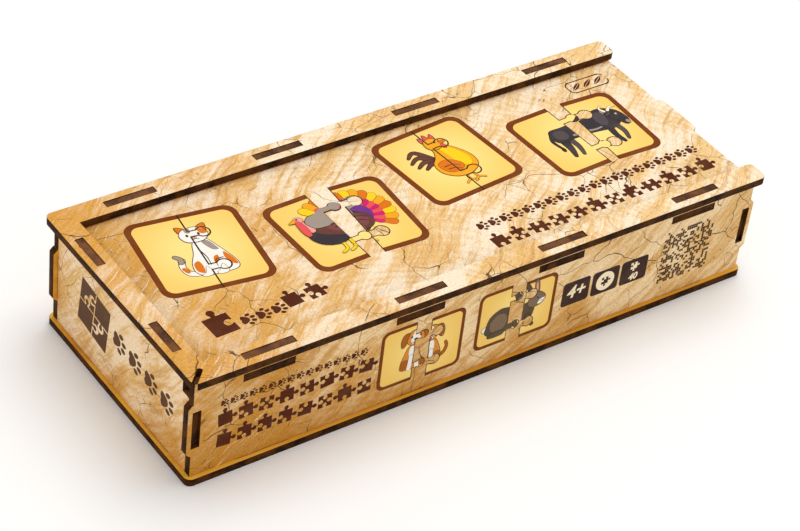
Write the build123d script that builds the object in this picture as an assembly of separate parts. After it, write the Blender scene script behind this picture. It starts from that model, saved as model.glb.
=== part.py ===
from build123d import *
import os

os.makedirs("parts", exist_ok=True)

# Boxed jigsaw puzzle: a laser-cut plywood box with a sliding lid that holds
# twenty two-piece card puzzles. Units are millimetres, Z is up, X runs along
# the box and the lid slides out towards +X. The origin is under the box centre.

# ---------------------------------------------------------------- plywood box
ply = 3.0
box_length = 240.0
box_width = 98.0
box_height = 46.0
frame_side_overhang = 3.0
frame_end_overhang = 2.4
base_overhang = 1.6
sheet_corner_radius = 2.5

# -------------------------------------------------------- finger joints, ears
long_tab_length = 19.5
long_tab_inset = 28.2
end_tab_length = 15.5
end_tab_inset = 18.6
side_tab_length = 15.5
tab_gap = 0.1
tab_recess = 0.25
side_tab_recess = 1.2
ear_reach = 1.8
ear_height = 22.0
ear_chamfer = 1.4

# ------------------------------------------------------------- top frame, lid
rail_lip = 3.2
rail_end_radius = 2.2
lid_headroom = 0.4
lid_seat_gap = 0.1
lid_side_gap = 0.4
lid_setback = 2.2
lid_corner_radius = 1.2
finger_tab_length = 22.0
finger_tab_taper = 1.6
finger_tab_radius = 1.0
ledge_width = 5.0

# ------------------------------------------------------ corner slit and notch
slit_width = 1.9
slit_length = 7.6
notch_width = 4.0
notch_height = 8.0

# -------------------------------------------------------------- card puzzles
stack_counts = (7, 7, 6)
stack_spacing = 2.5
card_edge_gap = 4.5
card_corner_radius = 6.0
card_sheet_gap = 0.05
card_kerf = 0.15
knob_head_radius = 5.6
knob_neck_width = 6.4
knob_reach = 8.2
knob_inset = 17.0

# ------------------------------------------------------------ derived heights
base_top = ply
wall_top = box_height - ply
wall_height = wall_top - base_top
wall_middle = base_top + wall_height / 2
lid_top = wall_top - lid_headroom
lid_bottom = lid_top - ply
ledge_top = lid_bottom - lid_seat_gap
ledge_bottom = ledge_top - ply

# ------------------------------------------------------------ derived lengths
half_length = box_length / 2
half_width = box_width / 2
wall_face_x = half_length - frame_end_overhang
wall_face_y = half_width - frame_side_overhang
inner_x = wall_face_x - ply
inner_y = wall_face_y - ply
base_length = 2 * (wall_face_x + base_overhang)
base_width = 2 * (wall_face_y + base_overhang)
strip_inner_x = rail_lip - inner_x
rail_inner_y = inner_y - rail_lip
long_tab_outer = wall_face_x - long_tab_inset
long_tab_centres = [-long_tab_outer, -long_tab_outer / 3, long_tab_outer / 3, long_tab_outer]
end_tab_centres = [end_tab_inset - inner_y, inner_y - end_tab_inset]
tab_rise = ply - tab_recess
side_tab_reach = ply - side_tab_recess


def plate(profile, bottom):
    """Raise a flat outline by one ply from the height `bottom`."""
    return extrude(Pos(0, 0, bottom) * profile, amount=ply)


def upright_x(profile, outer_y, inward):
    """Stand an XZ outline on the plane y = outer_y and thicken it inwards."""
    standing = Plane(origin=(0, outer_y, 0), x_dir=(1, 0, 0), z_dir=(0, -1, 0))
    return extrude(standing * profile, amount=ply, dir=(0, inward, 0))


def upright_y(profile, outer_x, inward):
    """Stand a YZ outline on the plane x = outer_x and thicken it inwards."""
    standing = Plane(origin=(outer_x, 0, 0), x_dir=(0, 1, 0), z_dir=(1, 0, 0))
    return extrude(standing * profile, amount=ply, dir=(inward, 0, 0))


def block(low_u, high_u, low_v, high_v):
    """A flat rectangle between two corners."""
    middle = Pos((low_u + high_u) / 2, (low_v + high_v) / 2)
    return middle * Rectangle(high_u - low_u, high_v - low_v)


def slot(centre_u, length, low_v, high_v):
    """A slot outline: the tab it takes plus the gap on every side."""
    half = length / 2 + tab_gap
    return block(centre_u - half, centre_u + half, low_v - tab_gap, high_v + tab_gap)


# ----------------------------------------------------------------- base plate
base_outline = RectangleRounded(base_length, base_width, sheet_corner_radius)
for centre in long_tab_centres:
    base_outline -= slot(centre, long_tab_length, inner_y, wall_face_y)
    base_outline -= slot(centre, long_tab_length, -wall_face_y, -inner_y)
for centre in end_tab_centres:
    across = slot(centre, end_tab_length, inner_x, wall_face_x)
    base_outline -= Rot(0, 0, 90) * across
    base_outline -= Rot(0, 0, -90) * across
base_plate = plate(base_outline, 0)


# ----------------------------------------------------------------- long walls
def ear_outline(side):
    """One chamfered ear that sticks out past an end of a long wall."""
    low = wall_middle - ear_height / 2
    high = wall_middle + ear_height / 2
    near = inner_x
    far = wall_face_x + ear_reach
    corners = [
        (side * near, low),
        (side * (far - ear_chamfer), low),
        (side * far, low + ear_chamfer),
        (side * far, high - ear_chamfer),
        (side * (far - ear_chamfer), high),
        (side * near, high),
    ]
    return make_face(Polyline(*corners, close=True))


def long_wall_outline():
    """The front and back walls share this outline."""
    outline = block(-wall_face_x, wall_face_x, base_top, wall_top)
    side_low = wall_middle - side_tab_length / 2 - tab_gap
    side_high = wall_middle + side_tab_length / 2 + tab_gap
    for centre in long_tab_centres:
        low_u = centre - long_tab_length / 2
        high_u = centre + long_tab_length / 2
        outline += block(low_u, high_u, wall_top, wall_top + tab_rise)
        outline += block(low_u, high_u, base_top - tab_rise, base_top)
        outline -= slot(centre, long_tab_length, ledge_bottom, ledge_top)
    for side in (-1, 1):
        outline += ear_outline(side)
        edges = sorted((side * (inner_x - tab_gap), side * (wall_face_x + tab_gap)))
        outline -= block(edges[0], edges[1], side_low, side_high)
    return outline


front_wall = upright_x(long_wall_outline(), -wall_face_y, 1)
back_wall = upright_x(long_wall_outline(), wall_face_y, -1)


# ------------------------------------------------------------------ end walls
def end_wall_outline(top):
    """An end wall up to the height `top`, with side tabs and base tabs."""
    outline = block(-inner_y, inner_y, base_top, top)
    low_v = wall_middle - side_tab_length / 2
    high_v = wall_middle + side_tab_length / 2
    outline += block(-inner_y - side_tab_reach, inner_y + side_tab_reach, low_v, high_v)
    for centre in end_tab_centres:
        low_u = centre - end_tab_length / 2
        high_u = centre + end_tab_length / 2
        outline += block(low_u, high_u, base_top - tab_rise, base_top)
    return outline


left_outline = end_wall_outline(wall_top)
for centre in end_tab_centres:
    left_low = centre - end_tab_length / 2
    left_high = centre + end_tab_length / 2
    left_outline += block(left_low, left_high, wall_top, wall_top + tab_rise)
left_outline -= block(-inner_y, -inner_y + notch_width, wall_top - notch_height, wall_top)
left_end_wall = upright_y(left_outline, -wall_face_x, 1)
right_end_wall = upright_y(end_wall_outline(ledge_top), wall_face_x, -1)

# ------------------------------------------------------------------ top frame
frame_outline = RectangleRounded(box_length, box_width, sheet_corner_radius)
frame_outline -= block(strip_inner_x, half_length, -rail_inner_y, rail_inner_y)
for side in (-1, 1):
    arc_x = half_length - rail_end_radius
    arc_y = rail_inner_y + rail_end_radius
    rail_corner = block(arc_x, half_length, rail_inner_y, arc_y)
    rail_corner -= Pos(arc_x, arc_y) * Circle(rail_end_radius)
    if side < 0:
        rail_corner = mirror(rail_corner, about=Plane.XZ)
    frame_outline -= rail_corner
for centre in long_tab_centres:
    frame_outline -= slot(centre, long_tab_length, inner_y, wall_face_y)
    frame_outline -= slot(centre, long_tab_length, -wall_face_y, -inner_y)
for centre in end_tab_centres:
    left_slot = slot(centre, end_tab_length, inner_x, wall_face_x)
    frame_outline -= Rot(0, 0, 90) * left_slot
slit_start = Pos(-half_length, -half_width) * Rot(0, 0, 45)
slit_body = block(0, slit_length, -slit_width / 2, slit_width / 2)
slit_body += Pos(slit_length, 0) * Circle(slit_width / 2)
frame_outline -= slit_start * slit_body
top_frame = plate(frame_outline, wall_top)

# ---------------------------------------------------------------- sliding lid
lid_left = -inner_x + lid_side_gap
lid_right = half_length - lid_setback
lid_half_width = inner_y - lid_side_gap
lid_middle = Pos((lid_left + lid_right) / 2, 0)
lid_outline = lid_middle * RectangleRounded(lid_right - lid_left, 2 * lid_half_width, lid_corner_radius)
finger_half = finger_tab_length / 2
finger_corners = [
    (lid_right - lid_corner_radius, -finger_half),
    (lid_right, -finger_half),
    (half_length, finger_tab_taper - finger_half),
    (half_length, finger_half - finger_tab_taper),
    (lid_right, finger_half),
    (lid_right - lid_corner_radius, finger_half),
]
finger_tab = make_face(Polyline(*finger_corners, close=True))
finger_tips = finger_tab.vertices().group_by(Axis.X)[-1]
lid_outline += fillet(finger_tips, finger_tab_radius)
sliding_lid = plate(lid_outline, lid_bottom)

# ----------------------------------------------------------------- lid ledges
ledge_outline = block(-inner_x, inner_x, inner_y - ledge_width, inner_y)
for centre in long_tab_centres:
    ledge_low = centre - long_tab_length / 2
    ledge_high = centre + long_tab_length / 2
    ledge_outline += block(ledge_low, ledge_high, inner_y, inner_y + tab_rise)
back_lid_ledge = plate(ledge_outline, ledge_bottom)
front_lid_ledge = plate(mirror(ledge_outline, about=Plane.XZ), ledge_bottom)

# --------------------------------------------------------------- card puzzles
stack_count = len(stack_counts)
card_length = (2 * inner_x - (stack_count + 1) * stack_spacing) / stack_count
card_width = 2 * (inner_y - ledge_width - card_edge_gap)
knob_offset = card_width / 2 - knob_inset


def knobs(growth):
    """The two round-headed knobs that reach from the left half into the right."""
    neck_half = knob_neck_width / 2 + growth
    one = block(-card_kerf, knob_reach, -neck_half, neck_half)
    one += Pos(knob_reach, 0) * Circle(knob_head_radius + growth)
    return Pos(0, knob_offset) * one + Pos(0, -knob_offset) * one


def card_side(low, high):
    """The stretch of a rounded card between two places along it."""
    card = RectangleRounded(card_length, card_width, card_corner_radius)
    return card & block(low, high, -card_width, card_width)


left_half = card_side(-card_length, -card_kerf / 2) + knobs(0)
right_half = card_side(card_kerf / 2, card_length) - knobs(card_kerf)

export_step(base_plate, "parts/base_plate.step")
export_step(front_wall, "parts/front_wall.step")
export_step(back_wall, "parts/back_wall.step")
export_step(left_end_wall, "parts/left_end_wall.step")
export_step(right_end_wall, "parts/right_end_wall.step")
export_step(top_frame, "parts/top_frame.step")
export_step(sliding_lid, "parts/sliding_lid.step")
export_step(front_lid_ledge, "parts/front_lid_ledge.step")
export_step(back_lid_ledge, "parts/back_lid_ledge.step")

number = 0
for column, count in enumerate(stack_counts):
    column_x = (column - (stack_count - 1) / 2) * (card_length + stack_spacing)
    for layer in range(count):
        number += 1
        card_bottom = base_top + card_sheet_gap + layer * (ply + card_sheet_gap)
        left_card = Pos(column_x, 0) * plate(left_half, card_bottom)
        right_card = Pos(column_x, 0) * plate(right_half, card_bottom)
        export_step(left_card, f"parts/puzzle_{number:02d}_left.step")
        export_step(right_card, f"parts/puzzle_{number:02d}_right.step")
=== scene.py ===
import logging
import math
import random
from dataclasses import dataclass, field
from enum import Enum
from typing import Callable, Iterable, Sequence

import bmesh
import bpy
from mathutils import Matrix, Vector


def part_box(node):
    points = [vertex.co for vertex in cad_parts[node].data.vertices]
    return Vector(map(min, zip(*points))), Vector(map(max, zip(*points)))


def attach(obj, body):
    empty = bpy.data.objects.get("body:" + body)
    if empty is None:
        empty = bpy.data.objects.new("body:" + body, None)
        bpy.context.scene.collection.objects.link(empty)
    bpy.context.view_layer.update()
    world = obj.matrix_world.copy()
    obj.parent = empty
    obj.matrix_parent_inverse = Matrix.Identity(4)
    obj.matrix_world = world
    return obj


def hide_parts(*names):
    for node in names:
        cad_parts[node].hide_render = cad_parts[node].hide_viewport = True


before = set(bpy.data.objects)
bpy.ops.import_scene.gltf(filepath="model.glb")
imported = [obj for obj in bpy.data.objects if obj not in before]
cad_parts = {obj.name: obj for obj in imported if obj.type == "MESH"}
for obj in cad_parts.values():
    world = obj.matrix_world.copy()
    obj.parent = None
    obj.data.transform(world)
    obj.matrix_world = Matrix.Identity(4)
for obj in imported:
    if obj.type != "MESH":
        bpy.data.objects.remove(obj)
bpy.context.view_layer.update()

# Looks of a boxed jigsaw puzzle: a printed plywood box with charred cut edges,
# a sliding lid, and two-piece picture cards stacked inside. Lengths that are
# easier to read in millimetres are written so and multiplied by MM.

log = logging.getLogger("puzzle_box")

MM = 0.001
FULL_TURN = 2 * math.pi
INK_LAYER = 0.006 * MM

Point = tuple[float, float]
Spread = tuple[float, float]
Triple = tuple[float, float, float]
Outline = list[Point]
Colour = tuple[float, float, float, float]
Piece = bpy.types.Object
Socket = bpy.types.NodeSocket
Sockets = dict[str, Socket]
Given = bpy.types.NodeOutputs


def tint(red: int, green: int, blue: int) -> Colour:
    """Turn display values from 0 to 255 into a linear colour.

    Args:
        red: Red, 0 to 255.
        green: Green, 0 to 255.
        blue: Blue, 0 to 255.

    Returns:
        The linear colour with full alpha.
    """
    linear = []
    for level in (red, green, blue):
        share = level / 255
        linear.append(share / 12.92 if share <= 0.04045 else ((share + 0.055) / 1.055) ** 2.4)
    return linear[0], linear[1], linear[2], 1.0


class Body(str, Enum):
    """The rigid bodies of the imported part."""

    BOX = "box"
    LID = "lid"


class Slot(str, Enum):
    """The record's material slots."""

    PRINTED = "printed_ply"
    BARE = "bare_ply"
    CARD = "card_ply"


class Ink(Enum):
    """The inks of the printed pictures, as linear colours."""

    LINE = tint(58, 36, 26)
    WHITE = tint(246, 240, 230)
    CREAM = tint(250, 232, 196)
    ORANGE = tint(222, 116, 22)
    AMBER = tint(243, 166, 30)
    YELLOW = tint(252, 206, 30)
    GREY = tint(160, 146, 134)
    SLATE = tint(84, 74, 76)
    COAL = tint(58, 52, 58)
    UMBER = tint(104, 62, 52)
    PLUM = tint(128, 70, 72)
    ROSE = tint(232, 84, 84)
    PINK = tint(240, 160, 150)
    MAGENTA = tint(206, 34, 104)
    VIOLET = tint(112, 52, 134)
    BORDER = tint(122, 58, 16)
    FIELD = tint(252, 216, 122)
    TITLE = tint(84, 36, 16)
    FADED = tint(92, 60, 38)
    TAUPE = tint(128, 106, 84)
    PEAT = tint(92, 76, 60)
    TAWNY = tint(214, 142, 54)
    RUST = tint(172, 96, 30)
    TILE = tint(62, 40, 36)
    MOSAIC = tint(74, 48, 28)


# --------------------------------------------------------------- node wiring
@dataclass(frozen=True)
class Grain:
    """A noise pattern: its scale, detail and roughness, and how far it is drawn out along X."""

    scale: float
    detail: float = 4.0
    rough: float = 0.5
    stretch: float = 1.0


@dataclass
class Wiring:
    """Adds nodes to one node tree and joins them."""

    tree: bpy.types.NodeTree

    def node(self, kind: str, inputs: dict | None = None, **settings: object) -> bpy.types.Node:
        """Add a shader node.

        Args:
            kind: The node's type name, without its prefix.
            inputs: Sockets or values for its inputs, by name or index.
            settings: Attributes to set on the node.

        Returns:
            The new node.
        """
        made = self.tree.nodes.new(f"ShaderNode{kind}")
        for name, value in settings.items():
            setattr(made, name, value)
        for key, value in (inputs or {}).items():
            self.feed(value, made.inputs[key])
        return made

    def feed(self, value: object, target: Socket) -> None:
        """Link a socket to an input, or write a plain value there."""
        if isinstance(value, Socket):
            self.tree.links.new(value, target)
        else:
            target.default_value = value

    def maths(self, operation: str, *values: object) -> Socket:
        """A Math node's result."""
        return self.node("Math", dict(enumerate(values)), operation=operation).outputs[0]

    def times(self, first: object, second: object) -> Socket:
        """The product of two numbers."""
        return self.maths("MULTIPLY", first, second)

    def plus(self, first: object, second: object) -> Socket:
        """The sum of two numbers."""
        return self.maths("ADD", first, second)

    def vectors(self, operation: str, *values: object, output: str = "Vector") -> Socket:
        """A Vector Math node's result, from the output that is named."""
        return self.node("VectorMath", dict(enumerate(values)), operation=operation).outputs[output]

    def scaled(self, vector: object, factor: object) -> Socket:
        """A vector times a number."""
        return self.node("VectorMath", {0: vector, "Scale": factor}, operation="SCALE").outputs["Vector"]

    def length(self, vector: object) -> Socket:
        """A vector's length."""
        return self.vectors("LENGTH", vector, output="Value")

    def combine(self, x: object, y: object, z: object) -> Socket:
        """A vector from three numbers."""
        return self.node("CombineXYZ", {0: x, 1: y, 2: z}).outputs[0]

    def noise(self, place: object, grain: Grain, output: str | int = 0) -> Socket:
        """A Noise texture's value, or the output that is named."""
        if grain.stretch != 1.0:
            place = self.vectors("MULTIPLY", place, (grain.stretch, 1.0, 1.0))
        inputs = {"Vector": place, "Scale": grain.scale, "Detail": grain.detail, "Roughness": grain.rough}
        return self.node("TexNoise", inputs).outputs[output]

    def edge_distance(self, vector: object, scale: float) -> Socket:
        """The distance to a Voronoi cell's edge."""
        inputs = {"Vector": vector, "Scale": scale}
        return self.node("TexVoronoi", inputs, feature="DISTANCE_TO_EDGE").outputs["Distance"]

    def window(self, value: object, low: float, high: float, start: float = 0.0, end: float = 1.0) -> Socket:
        """Map low..high smoothly to start..end, clamped."""
        inputs = {"Value": value, "From Min": low, "From Max": high, "To Min": start, "To Max": end}
        return self.node("MapRange", inputs, interpolation_type="SMOOTHSTEP").outputs["Result"]

    def blend(self, factor: object, first: object, second: object, mode: str = "MIX") -> Socket:
        """Mix two colours."""
        inputs = {0: factor, 6: first, 7: second}
        return self.node("Mix", inputs, data_type="RGBA", blend_type=mode).outputs[2]


NUMBER, VECTOR, COLOUR = "NodeSocketFloat", "NodeSocketVector", "NodeSocketColor"


class EffectGroup:
    """A shader node group with named inputs and outputs, built once."""

    NAME = "Effect"
    INPUTS: dict[str, str] = {}
    OUTPUTS: dict[str, str] = {"Color": COLOUR, "Roughness": NUMBER, "Height": NUMBER}

    @classmethod
    def tree(cls) -> bpy.types.NodeTree:
        """Find the group, or build it the first time.

        Returns:
            The group's node tree.
        """
        found = bpy.data.node_groups.get(cls.NAME)
        if found:
            return found
        made = bpy.data.node_groups.new(cls.NAME, "ShaderNodeTree")
        for way, sockets in (("INPUT", cls.INPUTS), ("OUTPUT", cls.OUTPUTS)):
            for name, kind in sockets.items():
                made.interface.new_socket(name, in_out=way, socket_type=kind)
        enter = made.nodes.new("NodeGroupInput")
        leave = made.nodes.new("NodeGroupOutput")
        for name, socket in cls.wire(Wiring(made), enter.outputs).items():
            made.links.new(socket, leave.inputs[name])
        return made

    @classmethod
    def wire(cls, wires: Wiring, given: Given) -> Sockets:
        """Build the group's inside and say what feeds each output."""
        raise NotImplementedError

    @classmethod
    def place(cls, wires: Wiring, **inputs: object) -> Sockets:
        """Put the group into a material with its own values.

        Args:
            wires: The material's wiring.
            inputs: Sockets or values, by the inputs' names in small letters.

        Returns:
            The outputs by name.
        """
        given = {name.capitalize(): value for name, value in inputs.items()}
        made = wires.node("Group", given, node_tree=cls.tree())
        return {name: made.outputs[name] for name in cls.OUTPUTS}


@dataclass(frozen=True)
class Marking:
    """A kind of mark: its colour, the pattern that draws it, the pattern that masks it, and its strength."""

    colour: str
    pattern: str
    shows: Spread
    mask: str
    within: Spread
    strength: float


@dataclass(frozen=True)
class CrackNet:
    """A net of thin cracks: its scale and line width, and the patches in which it shows."""

    scale: float
    width: float
    patches: Grain
    shows: Spread


class SawnLogPrint(EffectGroup):
    """The printed end of a sawn log: slanting saw marks, faint rings and fine cracks."""

    NAME = "Sawn log print"
    INPUTS = {"Place": VECTOR, "Pith": VECTOR, "Lean": NUMBER, "Pale": COLOUR, "Tan": COLOUR, "Gold": COLOUR,
              "Streak": COLOUR, "Crack": COLOUR, "Deepening": VECTOR, "Depth": NUMBER}

    CLOUD = Grain(17.0, 3.0, 0.55)
    SAW_MARKS = {"broad": Grain(120.0, 4.0, 0.6, 0.14), "narrow": Grain(420.0, 4.0, 0.6, 0.07),
                 "hair": Grain(1300.0, 4.0, 0.6, 0.07), "fibre": Grain(1300.0, 3.0, 0.6)}
    PATCH = Grain(36.0, 9.0, 0.66)
    TICK = Grain(1.0, 3.0, 0.65)
    TICK_TURNS = 90.0
    TICK_DRIFT = 260.0
    BEND = 0.02
    RING_PITCH = 3.4 * MM
    RING_WOBBLE = 24.0 * MM

    TONE_SHARES = {"patch": 0.42, "broad": 0.34, "narrow": 0.24, "ring": 0.012}
    TANNED = (0.44, 0.54)
    DEEPENED = (0.66, 1.05, 0.0, 0.95)
    CLOUD_SHARE = 0.5
    MARKINGS = (
        Marking("Gold", "ring", (0.7, 1.0), "patch", (0.42, 0.56), 0.14),
        Marking("Streak", "narrow", (0.5, 0.62), "patch", (0.4, 0.58), 0.6),
        Marking("Gold", "hair", (0.55, 0.64), "broad", (0.46, 0.6), 0.8),
        Marking("Pale", "hair", (0.45, 0.36), "narrow", (0.47, 0.6), 0.8),
        Marking("Crack", "tick", (0.6, 0.69), "patch", (0.44, 0.6), 0.55),
    )

    CRACK_SWAY = Grain(52.0, 3.0)
    CRACK_WOBBLE = 0.011
    CRACK_NETS = (CrackNet(21.0, 0.17 * MM, Grain(19.0, 2.0), (0.51, 0.59)),
                  CrackNet(70.0, 0.13 * MM, Grain(40.0, 2.0), (0.49, 0.57)))
    CRACK_CORE = 0.4
    CRACK_STRENGTH = 0.88
    FIBRE_SHADE = (0.32, 0.68, 0.84, 1.08)
    SHEEN = (0.3, 0.7, 0.45, 0.6)
    HAIR_RELIEF = 0.5

    @classmethod
    def patterns(cls, wires: Wiring, local: Socket, lean: Socket) -> Sockets:
        """The noises and rings that the print is made from.

        Args:
            wires: The group's wiring.
            local: The place, measured from the pith.
            lean: The saw marks' turn.

        Returns:
            The patterns by name.
        """
        cloud = wires.noise(local, cls.CLOUD)
        turn = wires.node("VectorRotate", {"Vector": local, "Angle": lean}, rotation_type="Z_AXIS")
        bend = wires.times(wires.maths("SUBTRACT", cloud, 0.5), cls.BEND)
        turned = wires.vectors("ADD", turn.outputs[0], wires.combine(0.0, bend, 0.0))
        made = {name: wires.noise(turned, grain) for name, grain in cls.SAW_MARKS.items()}
        radius = wires.length(local)
        ring_place = wires.plus(radius, wires.times(cloud, cls.RING_WOBBLE))
        ring = wires.maths("SINE", wires.times(ring_place, FULL_TURN / cls.RING_PITCH))
        heading = wires.scaled(wires.vectors("NORMALIZE", local), cls.TICK_TURNS)
        outward = wires.combine(0.0, 0.0, wires.times(radius, cls.TICK_DRIFT))
        tick = wires.noise(wires.vectors("ADD", heading, outward), cls.TICK)
        return made | {"cloud": cloud, "patch": wires.noise(local, cls.PATCH), "ring": ring, "tick": tick}

    @classmethod
    def cracks(cls, wires: Wiring, local: Socket) -> Socket:
        """A mask of the crack nets, each shown in patches of its own."""
        centred = wires.vectors("SUBTRACT", wires.noise(local, cls.CRACK_SWAY, "Color"), (0.5, 0.5, 0.5))
        bent = wires.vectors("ADD", local, wires.scaled(centred, cls.CRACK_WOBBLE))
        nets = []
        for net in cls.CRACK_NETS:
            wide = net.width * net.scale
            line = wires.window(wires.edge_distance(bent, net.scale), wide * cls.CRACK_CORE, wide, 1.0, 0.0)
            nets.append(wires.times(line, wires.window(wires.noise(local, net.patches), *net.shows)))
        return wires.maths("MAXIMUM", *nets)

    @classmethod
    def wire(cls, wires: Wiring, given: Given) -> Sockets:
        """Build the print's colour, roughness and height."""
        local = wires.vectors("SUBTRACT", given["Place"], given["Pith"])
        patterns = cls.patterns(wires, local, given["Lean"])
        tone: Socket | float = 0.0
        for name, share in cls.TONE_SHARES.items():
            tone = wires.plus(tone, wires.times(patterns[name], share))
        colour = wires.blend(wires.window(tone, *cls.TANNED), given["Pale"], given["Tan"])
        # Deepening and Depth push the colour towards Gold along a slope and all over: on the walls this is
        # painted shade, darker overall and towards their bottoms; on the top it darkens the left side.
        slope = wires.vectors("DOT_PRODUCT", given["Place"], given["Deepening"], output="Value")
        clouded = wires.plus(wires.times(patterns["cloud"], cls.CLOUD_SHARE), tone)
        deep = wires.plus(wires.plus(slope, given["Depth"]), clouded)
        colour = wires.blend(wires.window(deep, *cls.DEEPENED), colour, given["Gold"])
        for marking in cls.MARKINGS:
            drawn = wires.window(patterns[marking.pattern], *marking.shows)
            shown = wires.times(drawn, wires.window(patterns[marking.mask], *marking.within))
            colour = wires.blend(wires.times(shown, marking.strength), colour, given[marking.colour])
        crack = cls.cracks(wires, local)
        colour = wires.blend(wires.times(crack, cls.CRACK_STRENGTH), colour, given["Crack"])
        shade = wires.window(patterns["fibre"], *cls.FIBRE_SHADE)
        colour = wires.blend(1.0, colour, wires.combine(shade, shade, shade), "MULTIPLY")
        height = wires.maths("SUBTRACT", wires.times(patterns["hair"], cls.HAIR_RELIEF), crack)
        return {"Color": colour, "Roughness": wires.window(patterns["broad"], *cls.SHEEN), "Height": height}


class LongGrain(EffectGroup):
    """Bare rotary-cut veneer: long soft grain with fine pores along X of Place."""

    NAME = "Long grain"
    INPUTS = {"Place": VECTOR, "Pale": COLOUR, "Deep": COLOUR}

    FIGURE = Grain(95.0, 6.0, 0.6, 0.09)
    PORES = Grain(1500.0, 3.0, 0.7, 0.09)
    CLOUD = Grain(14.0, 2.0)
    CLOUD_SHARE = 0.4
    DEEPENED = (0.5, 0.95)
    PITTED = (0.62, 0.74)
    PIT_STRENGTH = 0.35
    SHEEN = (0.3, 0.7, 0.5, 0.66)

    @classmethod
    def wire(cls, wires: Wiring, given: Given) -> Sockets:
        """Build the veneer's colour, roughness and height."""
        figure, pores, cloud = (wires.noise(given["Place"], grain)
                                for grain in (cls.FIGURE, cls.PORES, cls.CLOUD))
        share = wires.window(wires.plus(wires.times(cloud, cls.CLOUD_SHARE), figure), *cls.DEEPENED)
        colour = wires.blend(share, given["Pale"], given["Deep"])
        pit = wires.window(pores, *cls.PITTED)
        colour = wires.blend(wires.times(pit, cls.PIT_STRENGTH), colour, given["Deep"])
        height = wires.maths("SUBTRACT", figure, pit)
        return {"Color": colour, "Roughness": wires.window(figure, *cls.SHEEN), "Height": height}


class Scorch(EffectGroup):
    """A laser-cut edge: burnt wood with soot patches and fine beam marks."""

    NAME = "Scorch"
    INPUTS = {"Place": VECTOR, "Soot": COLOUR, "Burnt": COLOUR}

    PATCHES = Grain(160.0, 4.0, 0.6)
    BEAM_MARKS = Grain(1900.0, 2.0, 0.7)
    MARK_SHARE = 0.35
    BURNT = (0.5, 0.85)
    SHEEN = (0.3, 0.7, 0.5, 0.75)

    @classmethod
    def wire(cls, wires: Wiring, given: Given) -> Sockets:
        """Build the edge's colour, roughness and height."""
        patches, marks = (wires.noise(given["Place"], grain) for grain in (cls.PATCHES, cls.BEAM_MARKS))
        share = wires.window(wires.plus(patches, wires.times(marks, cls.MARK_SHARE)), *cls.BURNT)
        colour = wires.blend(share, given["Soot"], given["Burnt"])
        return {"Color": colour, "Roughness": wires.window(patches, *cls.SHEEN), "Height": marks}


class InkMottle(EffectGroup):
    """Ink on wood: slight cloudiness, and pores where the ink sank in."""

    NAME = "Ink mottle"
    INPUTS = {"Place": VECTOR, "Ink": COLOUR, "Wood": COLOUR}
    OUTPUTS = {"Color": COLOUR, "Roughness": NUMBER}

    CLOUD = Grain(120.0, 3.0)
    PORES = Grain(1300.0, 3.0, 0.7)
    CLOUDED = (0.4, 0.8, 0.0, 0.035)
    PITTED = (0.6, 0.75, 0.0, 0.07)
    SHEEN = (0.3, 0.7, 0.4, 0.52)

    @classmethod
    def wire(cls, wires: Wiring, given: Given) -> Sockets:
        """Build the ink's colour and roughness."""
        cloud, pores = (wires.noise(given["Place"], grain) for grain in (cls.CLOUD, cls.PORES))
        colour = given["Ink"]
        for pattern, reach in ((cloud, cls.CLOUDED), (pores, cls.PITTED)):
            colour = wires.blend(wires.window(pattern, *reach), colour, given["Wood"])
        return {"Color": colour, "Roughness": wires.window(cloud, *cls.SHEEN)}


class RoundedBorder(EffectGroup):
    """A mask that is 1 on the border of a rounded rectangle and 0 in its field."""

    NAME = "Rounded border"
    INPUTS = {"Place": VECTOR, "Centre": VECTOR, "Half": VECTOR, "Radius": NUMBER, "Width": NUMBER}
    OUTPUTS = {"Mask": NUMBER}

    BLUR = 0.06 * MM

    @classmethod
    def wire(cls, wires: Wiring, given: Given) -> Sockets:
        """Build the border mask from the distance to the rounded outline."""
        offset = wires.vectors("ABSOLUTE", wires.vectors("SUBTRACT", given["Place"], given["Centre"]))
        ring = wires.combine(given["Radius"], given["Radius"], 0.0)
        over = wires.vectors("SUBTRACT", offset, wires.vectors("SUBTRACT", given["Half"], ring))
        over = wires.vectors("MULTIPLY", over, (1.0, 1.0, 0.0))
        outside = wires.length(wires.vectors("MAXIMUM", over, (0.0, 0.0, 0.0)))
        parts = wires.node("SeparateXYZ", {0: over}).outputs
        inside = wires.maths("MINIMUM", wires.maths("MAXIMUM", parts[0], parts[1]), 0.0)
        gap = wires.maths("SUBTRACT", wires.plus(outside, inside), given["Radius"])
        return {"Mask": wires.window(wires.plus(gap, given["Width"]), -cls.BLUR, cls.BLUR)}


class SoftGlow(EffectGroup):
    """A smooth fade from one colour at a centre to another away from it."""

    NAME = "Soft glow"
    INPUTS = {"Place": VECTOR, "Centre": VECTOR, "Reach": NUMBER, "Inner": COLOUR, "Outer": COLOUR}
    OUTPUTS = {"Color": COLOUR}

    FADED = (0.15, 1.0)

    @classmethod
    def wire(cls, wires: Wiring, given: Given) -> Sockets:
        """Build the faded colour."""
        away = wires.length(wires.vectors("SUBTRACT", given["Place"], given["Centre"]))
        share = wires.window(wires.maths("DIVIDE", away, given["Reach"]), *cls.FADED)
        return {"Color": wires.blend(share, given["Inner"], given["Outer"])}


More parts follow.
